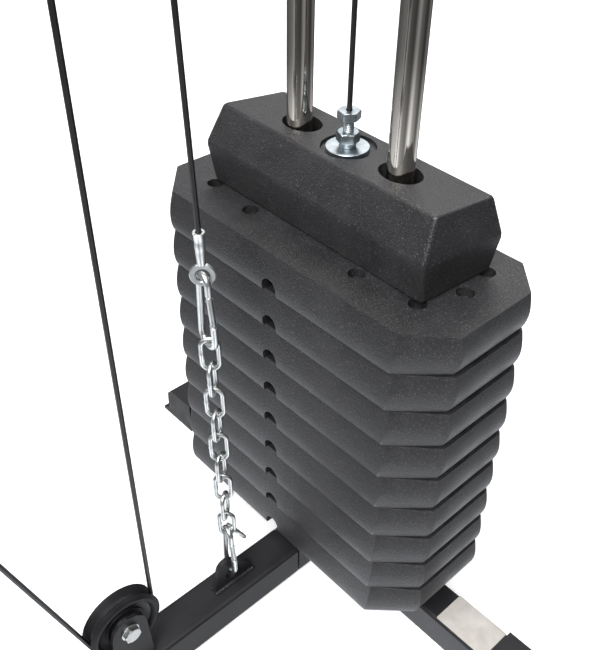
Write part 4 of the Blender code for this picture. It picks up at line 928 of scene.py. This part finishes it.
def snap_hook(place, length, lift, turn):
    """Bent wire hook with a riveted spring gate; the gate moves with its own body."""
    wide, narrow = 0.0118, 0.0075
    top, bottom = -HOOK_WIRE, HOOK_WIRE - length
    points = [Vector((wide, 0, bottom + wide + rise)) for rise in (0.016, 0.008)]
    points += [Vector((wide * c, 0, bottom + wide - wide * s)) for c, s in around(20, 0, pi, 1)]
    points += [Vector((narrow * c, 0, top - narrow + narrow * s))
               for c, s in around(16, pi, -pi, 1)]
    points.append(Vector((narrow, 0, top - narrow - 0.010)))
    hinge, nose = points[-1], points[0]
    at = CHAIN @ shift(0, 0, lift) @ spin(turn)
    piece(f"{place}_hook", sweep(points, HOOK_WIRE, 20, round_end=0.0006), zinc, "frame",
          f"{place}_snap_hook", at=at)
    along = (nose - hinge).normalized()
    first, last = hinge + along * 0.0016, nose - along * 0.0010
    parts = [sweep([first] + line(first, last, 6), HOOK_WIRE - 0.0004, 20, round_end=0.0006)]
    for middle in (first + along * 0.0030, last - along * 0.0016):
        parts.append(lathe(RIVET, 16))
        bmesh.ops.transform(parts[-1], matrix=Matrix.Translation(middle) @ ALONG_Y,
                            verts=parts[-1].verts)
    gate = f"{place}_hook_gate"
    piece(gate, joined(*parts), zinc, gate, gate, at=at)


snap_hook("upper", HOOK_LENGTHS[0], UPPER_HOOK_Z, -8)
snap_hook("lower", HOOK_LENGTHS[1], LOWER_HOOK_Z, -12)
print("two hooks")

# %% Links
LINK_END = 0.0080  # radius of a link's round ends, at the wire's middle
SPARE_HANG = Vector((0.0020, 0.0045, LAST_BOTTOM + 0.0085))
SPARE_DOWN = Vector((-0.13, 0.46, -0.88))


def link_loop(length, steps=12):
    """Stadium loop in the plane y = 0 that hangs from z = 0, with a small butt weld on one side."""
    points = [Vector((LINK_END * c, 0, LINK_END * s - LINK_END))
              for c, s in around(steps, 0, pi, 1)]
    points += [Vector((-LINK_END, 0, z - length / 2)) for z in (0.0022, 0.0008, -0.0008, -0.0022)]
    points += [Vector((LINK_END * c, 0, LINK_END - length + LINK_END * s))
               for c, s in around(steps, pi, pi, 1)]
    radii = [LINK_WIRE + (0.0003 if k in (steps + 2, steps + 3) else -0.00004)
             for k in range(len(points))]
    return sweep(points, radii, closed=True)


def links():
    """Nine taut links, and the spare one beside the lower hook, edge on to the view."""
    for k in range(LINKS):
        length = LINK_PITCH + 2 * LINK_WIRE - (0.0015 if k == LINKS - 1 else 0.0)
        turn = 50 + 70 * (k % 2) + 5 * sin(2.1 * k)
        at = CHAIN @ shift(0, 0, FIRST_LINK_Z - k * LINK_PITCH) @ spin(turn)
        nodes = ["chain"] if k == 0 else []
        piece(f"chain_link_{k + 1}", link_loop(length), zinc, "frame", *nodes, at=at)
    hang, down = CHAIN @ SPARE_HANG, SPARE_DOWN.normalized()
    sight = hang - CAMERA_PLACE
    side = (sight - down * sight.dot(down)).normalized()
    at = Matrix.Translation(hang) @ Matrix((side, (-down).cross(side), -down)).transposed().to_4x4()
    piece("spare_link", link_loop(0.0345), zinc, "frame", at=at)


links()
print(LINKS + 1, "links")

# %% [markdown]
# ## Bolts, welds, plugs and the plate on the rear tube
# Small hardware is made here and not in the CAD: hexagon bolts where the frame is bolted together,
# weld beads where it is welded, square plugs in the open tube ends. A bead could be a bump on the
# tube, but its outline shows against the light, so it is a swept row of drops. A bare metal plate
# stands where the real gym has its rating plate.

# %% Bolts
TUBE_TOP = 0.047
FOOT_PLATE_TOP, HEAD_PLATE_UNDER = TUBE_TOP + 0.0053, 1.9697
POST_Y, SLEEVE_Y, SEAT_TUBE_Z = -1.225, -1.3255, 0.360
SMALL = {"across": 0.0130, "head": 0.0055, "washer": 0.0085}


def turned_to(axis, sign, place):
    """Matrix whose z points along sign * axis at a place from the rods."""
    out = Vector([float(letter == axis) for letter in "XYZ"]) * sign
    return Matrix.Translation(place) @ out.to_track_quat("Z", "Y").to_matrix().to_4x4()


def hex_bolt(at, across=0.0170, head=0.0075, washer=0.0115):
    """Washer and hexagon head that stand on z = 0 of the matrix."""
    piece("bolt_washer", flat_ring(washer, 0.005, 0.0001, 0.0017, 0.0003, 36), zinc, "frame", at=at)
    piece("bolt_head", nut(across, 0.0017, 0.0017 + head, both=False), zinc, "frame", at=at,
          sharp=25)


def lock_nut(at, across):
    """Washer, nut and the bolt's end."""
    piece("nut_washer", flat_ring(0.0115, 0.005, 0.0001, 0.0017, 0.0003, 36), zinc, "frame", at=at)
    end = [(0, 0.0125), (0.0040, 0.0125), (0.0049, 0.0116), (0.0049, 0.0060), (0, 0.0060)]
    piece("lock_nut", joined(nut(across, 0.0017, 0.0088), lathe(end, 24)), zinc, "frame", at=at,
          sharp=25)


# Upright on the base, boom on the upright, seat post on the base
for side in (-1, 1):
    hex_bolt(turned_to("Z", 1, (0, UPRIGHT_Y + side * 0.040, FOOT_PLATE_TOP)))
    hex_bolt(turned_to("Z", -1, (0, UPRIGHT_Y + side * 0.040, HEAD_PLATE_UNDER)))
    hex_bolt(turned_to("Z", 1, (0, POST_Y + side * 0.037, FOOT_PLATE_TOP)), **SMALL)
print("six plate bolts")


# %% Seat clamp and rod bolts
def rectangle(width, height, radius, steps=3):
    w, h = width / 2, height / 2
    return rounded_polygon([(w, -h), (w, h), (-w, h), (-w, -h)], radius, steps)


CLAMP_X, ROD_PLATE_TOP = 0.0325, 1.9757
# The seat frame is clamped round the upright between its flange and a rear plate
clamp_y, flange_y = UPRIGHT_Y + TUBE / 2 + 0.0024, UPRIGHT_Y - TUBE / 2 - 0.0043
clamp = [[(x, clamp_y + y, SEAT_TUBE_Z + z)
          for x, z in rectangle(0.081 - 2 * inset, 0.045 - 2 * inset, 0.006)]
         for y, inset in reversed(SHEET_EDGE)]
piece("seat_clamp_plate", skin(clamp), paint, "frame")
for side in (-1, 1):
    x = side * CLAMP_X
    shank = [(x, flange_y, SEAT_TUBE_Z), (x, clamp_y, SEAT_TUBE_Z)]
    piece("clamp_bolt", sweep(shank, 0.0040, 20), zinc, "frame")
    hex_bolt(turned_to("Y", -1, (x, flange_y - 0.0001, SEAT_TUBE_Z)), **SMALL)
    lock_nut(turned_to("Y", 1, (x, clamp_y + 0.0021, SEAT_TUBE_Z)), 0.0130)
    # Guide rods hang from the rod plate by a bolt in their tops
    hex_bolt(turned_to("Z", 1, (side * ROD_X, 0, ROD_PLATE_TOP)), across=0.0190, head=0.0080)
print("clamp at", round(clamp_y, 4))

# %% Welds
FRONT_TUBE_Y = -1.385
CORNER, PLATE_EDGE = 0.0228, 0.0232  # a bead's distance from the middle of the tube it runs beside


def weld_bead(name, start, end, radius=0.0022):
    """Row of overlapping drops from start to end."""
    start, end = Vector(start), Vector(end)
    count = max(8, int((end - start).length / 0.0009))
    points = [start.lerp(end, k / count) for k in range(count + 1)]
    radii = [radius * (0.80 + 0.20 * abs(sin(pi * k / 3.4)) + 0.05 * sin(1.7 * k))
             for k in range(count + 1)]
    piece(name, sweep(points, radii, 10, round_end=radius * 0.6), paint, "frame", sharp=60)


for side in (-1, 1):
    for name, x, front, rear, radius in (
            ("lug_weld", 0.0044, LUG_Y - 0.0265, LUG_Y + 0.0290, 0.0034),
            ("bracket_weld", 0.0168, LOW_PULLEY[0] - 0.023, LOW_PULLEY[0] + 0.023, 0.0022)):
        weld_bead(name, (side * x, front, TUBE_TOP), (side * x, rear, TUBE_TOP), radius)
    for name, y in (("front_tube_weld", FRONT_TUBE_Y + CORNER), ("rear_tube_weld", -CORNER)):
        weld_bead(name, (side * CORNER, y, 0.005), (side * CORNER, y, 0.043))
    for name, y, z in (("upright_foot_weld", UPRIGHT_Y, TUBE_TOP + 0.0055),
                       ("upright_head_weld", UPRIGHT_Y, 1.9695),
                       ("post_foot_weld", POST_Y, TUBE_TOP + 0.0055)):
        y += side * PLATE_EDGE
        weld_bead(name, (-0.019, y, z), (0.019, y, z))
    y = SLEEVE_Y + CORNER
    weld_bead("sleeve_weld", (side * CORNER, y, 0.340), (side * CORNER, y, 0.380))
for name, y in (("front_top_weld", FRONT_TUBE_Y + TUBE / 2), ("rear_top_weld", -TUBE / 2)):
    weld_bead(name, (-0.020, y, TUBE_TOP), (0.020, y, TUBE_TOP))
print("eighteen weld beads")

# %% Plugs and plate
BOOM_Z, BOOM_ENDS = 1.9975, ((0.034, 1), (-1.190, -1))
# How far each ring of a plug stands out of the tube, and its width
PLUG_RINGS = ((0.0001, 0.0446), (0.0020, 0.0446), (0.0030, 0.0430), (0.0033, 0.0400))
for y, sign in BOOM_ENDS:
    plug = [[(x, y + sign * out, BOOM_Z + z) for x, z in rectangle(width, width, 0.004, 4)]
            for out, width in PLUG_RINGS]
    piece("boom_plug", skin(plug), black_plastic, "frame")
plate_rings = [[(0.2297 + x, 0.0006 + y, TUBE_TOP + z)
                for x, y in rectangle(0.0665 - 2 * inset, 0.0425 - 2 * inset, 0.0012)]
               for z, inset in ((0.0, 0.0), (0.0003, 0.0), (0.0005, 0.0004))]
piece("bare_rating_plate", skin(plate_rings), label, "frame")
print("plugs and plate")

# %% [markdown]
# ## Press arm and lat bar
# Both are bent round tube. A curve with a bevel could follow the corners, but a bender leaves true
# arcs, so they are swept along a route with real bend radii. The grips are ribbed rubber sleeves
# with a closed outer end.


# %% Bent tubes and grips
def bent_tube(name, corners, radius, bend, material, body, *nodes, steps=10):
    """Round tube through the corners, with round bends and slightly rounded ends."""
    corners = [Vector(c) for c in corners]
    route = [corners[0]]
    for trio in zip(corners, corners[1:], corners[2:]):
        centre, arm, end, half = fillet(*trio, bend)
        route += [centre + Matrix.Rotation((pi - 2 * half) * i / steps, 3, arm.cross(end)) @ arm
                  for i in range(steps + 1)]
    route.append(corners[-1])
    piece(name, sweep(route, radius, 32, round_end=0.0008), material, body, *nodes)


def grip(name, start, along, profile, ribs, end, steps, body, *nodes):
    """Rubber sleeve: its mouth's profile, ribs (low, high, first, pitch, count) and its end."""
    low, high, first, pitch, count = ribs
    for z in (first + pitch * k for k in range(count)):
        profile = profile + [(low, z), (high, z + 0.0010), (high, z + 0.0030), (low, z + 0.0040)]
    at = Matrix.Translation(start) @ along.to_track_quat("Z", "Y").to_matrix().to_4x4()
    piece(name, lathe(profile + end, steps, closed=True), rubber, body, *nodes, at=at, sharp=28)


print("bent tube and grip ready")

# %% Press arm
BAR_Y, BAR_Z = PRESS_PIVOT[0], 1.45446  # the crossbar
HAND_Y, HAND_Z = -1.090, 1.020
half_arm = [(0.3945, HAND_Y, HAND_Z), (0.270, HAND_Y, HAND_Z), (0.270, -0.910, 1.34446),
            (0.270, BAR_Y, BAR_Z)]
bent_tube("press_crossbar", half_arm + [(-x, y, z) for x, y, z in reversed(half_arm)], 0.016, 0.045,
          paint, "press_arm", "press_arm")
bent_tube("press_stem", [(0, BAR_Y, 1.4600), (0, BAR_Y, 1.8860)], 0.019, 0.03, paint, "press_arm")
pivot = shift(0, *PRESS_PIVOT) @ ALONG_X
piece("pivot_sleeve", flat_ring(0.0190, 0.0081, -0.0217, 0.0217, 0.0006), paint, "press_arm",
      at=pivot)
piece("pivot_pin", lathe(mirrored([(0, 0.0315), (0.0072, 0.0315), (0.0080, 0.0305)]), 32), zinc,
      "press_arm", at=pivot)
for side, hand in ((-1, "left"), (1, "right")):
    piece("pivot_clip", flat_ring(0.0120, 0.0079, 0.0268, 0.0286, 0.0003, 36), zinc, "press_arm",
          at=pivot @ spin(0 if side > 0 else 180, "X"))
    inner, outer = [Vector((side * x, HAND_Y, HAND_Z)) for x in (0.318, 0.3985)]
    length, bore, skin_radius = (outer - inner).length, 0.0162, 0.0203
    grip(f"press_grip_{hand}", inner, outer - inner,
         [(bore, 0.0), (0.0225, 0.0), (0.0233, 0.0010), (0.0233, 0.0034), (0.0222, 0.0048)],
         (skin_radius - 0.0011, skin_radius, 0.0070, 0.0044, 14),
         [(skin_radius, length - 0.0045), (0.0190, length - 0.0012), (0.0165, length), (0, length),
          (0, length - 0.0035), (bore, length - 0.0035)], 44, "press_arm", f"{hand}_press_grip")
lug = [[(0.0088 * u, -0.835 + 0.0148 * v, BAR_Z + z) for u, v in rectangle(2, 2, 0.14, 4)]
       for z in (-0.0088, 0.0088)]
piece("cable_lug", skin(lug), paint, "press_arm")
for z, radius in ((1.4725, 0.0195), (1.8800, 0.0190)):
    loop = [(radius * c, BAR_Y + radius * s, z) for c, s in around(48)]
    drops = [0.0020 + 0.0004 * sin(9 * k) for k in range(48)]
    piece("stem_weld", sweep(loop, drops, 8, closed=True), paint, "press_arm", sharp=60)
print("press arm")

# %% Lat bar
BEND_X, TIP_X, TIP_Z = 0.280, 0.470, 1.690
bent_tube("lat_bar_tube", [(-TIP_X, LAT_BAR_Y, TIP_Z), (-BEND_X, LAT_BAR_Y, LAT_BAR_Z),
                           (BEND_X, LAT_BAR_Y, LAT_BAR_Z), (TIP_X, LAT_BAR_Y, TIP_Z)],
          0.0125, 0.080, chrome, "lat_bar", "lat_bar", steps=12)
piece("lat_bar_eye", lathe([(0, 0.0305), (0.0055, 0.0305), (0.0075, 0.0290), (0.0075, 0.0130),
                            (0.0105, 0.0100), (0.0105, 0.0), (0, 0.0)], 32), zinc, "lat_bar",
      at=shift(0, LAT_BAR_Y, LAT_BAR_Z))
length = 0.1375
for side in (-1, 1):
    tip, bend = [Vector((side * x, LAT_BAR_Y, z)) for x, z in ((TIP_X, TIP_Z), (BEND_X, LAT_BAR_Z))]
    along = (tip - bend).normalized()
    grip("lat_bar_grip", tip - along * 0.135, along,
         [(0.0126, 0.0), (0.0150, 0.0), (0.0158, 0.0010)], (0.0150, 0.0158, 0.0030, 0.0043, 30),
         [(0.0158, length - 0.0025), (0.0140, length), (0, length), (0, length - 0.0018),
          (0.0126, length - 0.0018)], 40, "lat_bar")
print("lat bar", 2 * TIP_X, "wide")

# %% [markdown]
# ## Seat, backrest and rollers
# The pads are plywood boards with foam and a sewn cover. A subdivided box looks too even, so their
# covers are blown up by cloth simulation from the CAD cushions, then a piped seam runs round the
# edge over the board. The rollers are foam tubes, turned and slightly dented by noise, with a
# moulded cap at each outer end.

# %% Cushions
VOXEL = 0.0055
MOST_SWELL = 0.006  # how far a point of the cover may move
BOARD = 0.009  # depth over which the cover is fixed to the board


def blow_up(obj, pinned):
    """Short cloth simulation with pressure inside and no gravity."""
    obj.vertex_groups.new(name="board").add(pinned, 1.0, "ADD")
    settings = obj.modifiers.new("cover", "CLOTH").settings
    settings.quality, settings.use_pressure, settings.uniform_pressure_force = 5, True, 4.0
    settings.effector_weights.gravity = 0.0
    settings.vertex_group_mass = "board"
    for step in range(1, 21):
        bpy.context.scene.frame_set(step)
    with_modifiers(obj)
    bpy.context.scene.frame_set(1)


def cushion(name, cad_name, flat_axis, flat_at):
    """Cover blown up from the CAD solid; points near the board stay where they are."""
    obj = linked(name, node[cad_name].data.copy())
    obj.data.transform(node[cad_name].matrix_world)
    remesh = obj.modifiers.new("even_mesh", "REMESH")
    remesh.mode, remesh.voxel_size = "VOXEL", VOXEL
    with_modifiers(obj)
    middle = sum((v.co for v in obj.data.vertices), Vector()) / len(obj.data.vertices)
    for vertex in obj.data.vertices:
        offset = vertex.co - middle
        offset *= 0.985
        offset[flat_axis] = vertex.co[flat_axis] - middle[flat_axis]
        vertex.co = middle + offset
    before = [v.co.copy() for v in obj.data.vertices]
    blow_up(obj, [v.index for v in obj.data.vertices
                  if abs(v.co[flat_axis] - flat_at) < BOARD])
    for vertex, old in zip(obj.data.vertices, before):
        step = vertex.co - old
        if step.length > MOST_SWELL:
            vertex.co = old + step.normalized() * MOST_SWELL
    smooth = obj.modifiers.new("cover_smooth", "SUBSURF")
    smooth.levels = smooth.render_levels = 1
    with_modifiers(obj)
    obj.vertex_groups.clear()
    obj.data.materials.clear()
    obj.data.materials.append(leather)
    obj.data.shade_smooth()
    placed(obj, "frame", cad_name)
    return obj


SEAT_BASE, BACK_BASE = 0.3868, RODS_Y - 0.8683  # the boards' planes
seat_cover = cushion("seat_cushion", "seat_pad", 2, SEAT_BASE)
back_cover = cushion("backrest_cushion", "backrest_pad", 1, BACK_BASE)
print("cushion faces", len(seat_cover.data.polygons), len(back_cover.data.polygons))


# %% Seams
def seam(name, cover, flat_axis, level, steps=150):
    """Sewn cord that follows the cover's side at one level above the board."""
    near = [v.co for v in cover.data.vertices if abs(v.co[flat_axis] - level) < 0.005]
    tree = kdtree.KDTree(len(near))
    for i, point in enumerate(near):
        tree.insert(point, i)
    tree.balance()
    middle = sum(near, Vector()) / len(near)
    across, along = [k for k in range(3) if k != flat_axis]
    u, v = [max(abs(p[k] - middle[k]) for p in near) for k in (across, along)]
    loop = [Vector(p) for p in rounded_polygon([(u, -v), (u, v), (-u, v), (-u, -v)], 0.030, 6)]
    length = [0.0]
    for a, b in zip(loop, loop[1:] + loop[:1]):
        length.append(length[-1] + (b - a).length)
    points, part = [], 0
    for k in range(steps):
        want = length[-1] * k / steps
        while length[part + 1] < want:
            part += 1
        share = (want - length[part]) / (length[part + 1] - length[part])
        flat = loop[part].lerp(loop[(part + 1) % len(loop)], share)
        place = middle.copy()
        place[across] += flat.x
        place[along] += flat.y
        place[flat_axis] = level
        found = tree.find(place)[0].copy()
        found[flat_axis] = level
        points.append(found)
    smooth = [(points[k - 1] + points[k] * 2 + points[(k + 1) % steps]) / 4 - FROM_RODS
              for k in range(steps)]
    piece(name, sweep(smooth, 0.0013, 10, closed=True), piping_leather, "frame", sharp=60)


SEAM_UP = 0.014  # above the board
seam("seat_seam", seat_cover, 2, SEAT_BASE + SEAM_UP)
seam("backrest_seam", back_cover, 1, BACK_BASE - SEAM_UP)
print("two seams")

# %% Foam rollers
ROLLER_Z, FOAM = 0.620, 0.0450
ROLLER_END = [(0.0130, 0.0), (0.0330, 0.0012), (0.0400, 0.0030), (0.0440, 0.0075)]
ROLLER_CAP = [(0, 0.0115), (0.0170, 0.0110), (0.0215, 0.0085), (0.0225, 0.0045), (0.0225, 0.0015),
              (0, 0.0015)]


def foam_roller(side, low, high):
    """Foam tube with drawn-in ends and a surface that use has dented."""
    length = high - low
    profile = ROLLER_END + [(FOAM - 0.0006 + 0.0006 * sin(pi * k / 16),
                             0.012 + (length - 0.024) * k / 16) for k in range(17)]
    profile += [(radius, length - z) for radius, z in reversed(ROLLER_END)]
    form = lathe(profile, 64, closed=True)
    for vertex in form.verts:
        if vertex.co.xy.length > 0.035:
            dent = noise.noise(vertex.co * 32 + Vector((low * 50, 0, 0))) * 0.0012
            vertex.co += Vector((vertex.co.x, vertex.co.y, 0)).normalized() * dent
    roller = piece(f"foam_roller_{side}", form, foam, "thigh_post", f"{side}_foam_roller",
                   at=shift(low, SLEEVE_Y, ROLLER_Z) @ ALONG_X, sharp=50)


INNER_X, OUTER_X = 0.040, 0.195
foam_roller("right", INNER_X, OUTER_X)
foam_roller("left", -OUTER_X, -INNER_X)
for side in (-1, 1):
    piece("roller_cap", lathe(ROLLER_CAP, 48), black_plastic, "thigh_post",
          at=turned_to("X", side, (side * (OUTER_X - 0.0005), SLEEVE_Y, ROLLER_Z)))
print("rollers and caps")

# %% Thigh post's pin
# A moulded knob on its stem, in a bush that stays
KNOB = [(0, 0.0340), (0.0080, 0.0338), (0.0122, 0.0322), (0.0140, 0.0285), (0.0136, 0.0240),
        (0.0108, 0.0200), (0.0076, 0.0168), (0.0074, 0.0125), (0.0044, 0.0120), (0.0044, -0.0026),
        (0.0038, -0.0032), (0, -0.0033)]
at = shift(0, SLEEVE_Y - TUBE / 2 - 0.0003, SEAT_TUBE_Z + 0.030) @ spin(90, "X")
piece("thigh_pin_knob", lathe(KNOB, 40), black_plastic, "thigh_pin", "thigh_pin", at=at, sharp=40)
piece("pin_bush", flat_ring(0.0095, 0.0047, 0.0001, 0.0085, 0.0005, 40), zinc, "frame", at=at)
print("thigh pin")

# %% [markdown]
# ## Finish

# %% Finish
print("gym dressed")
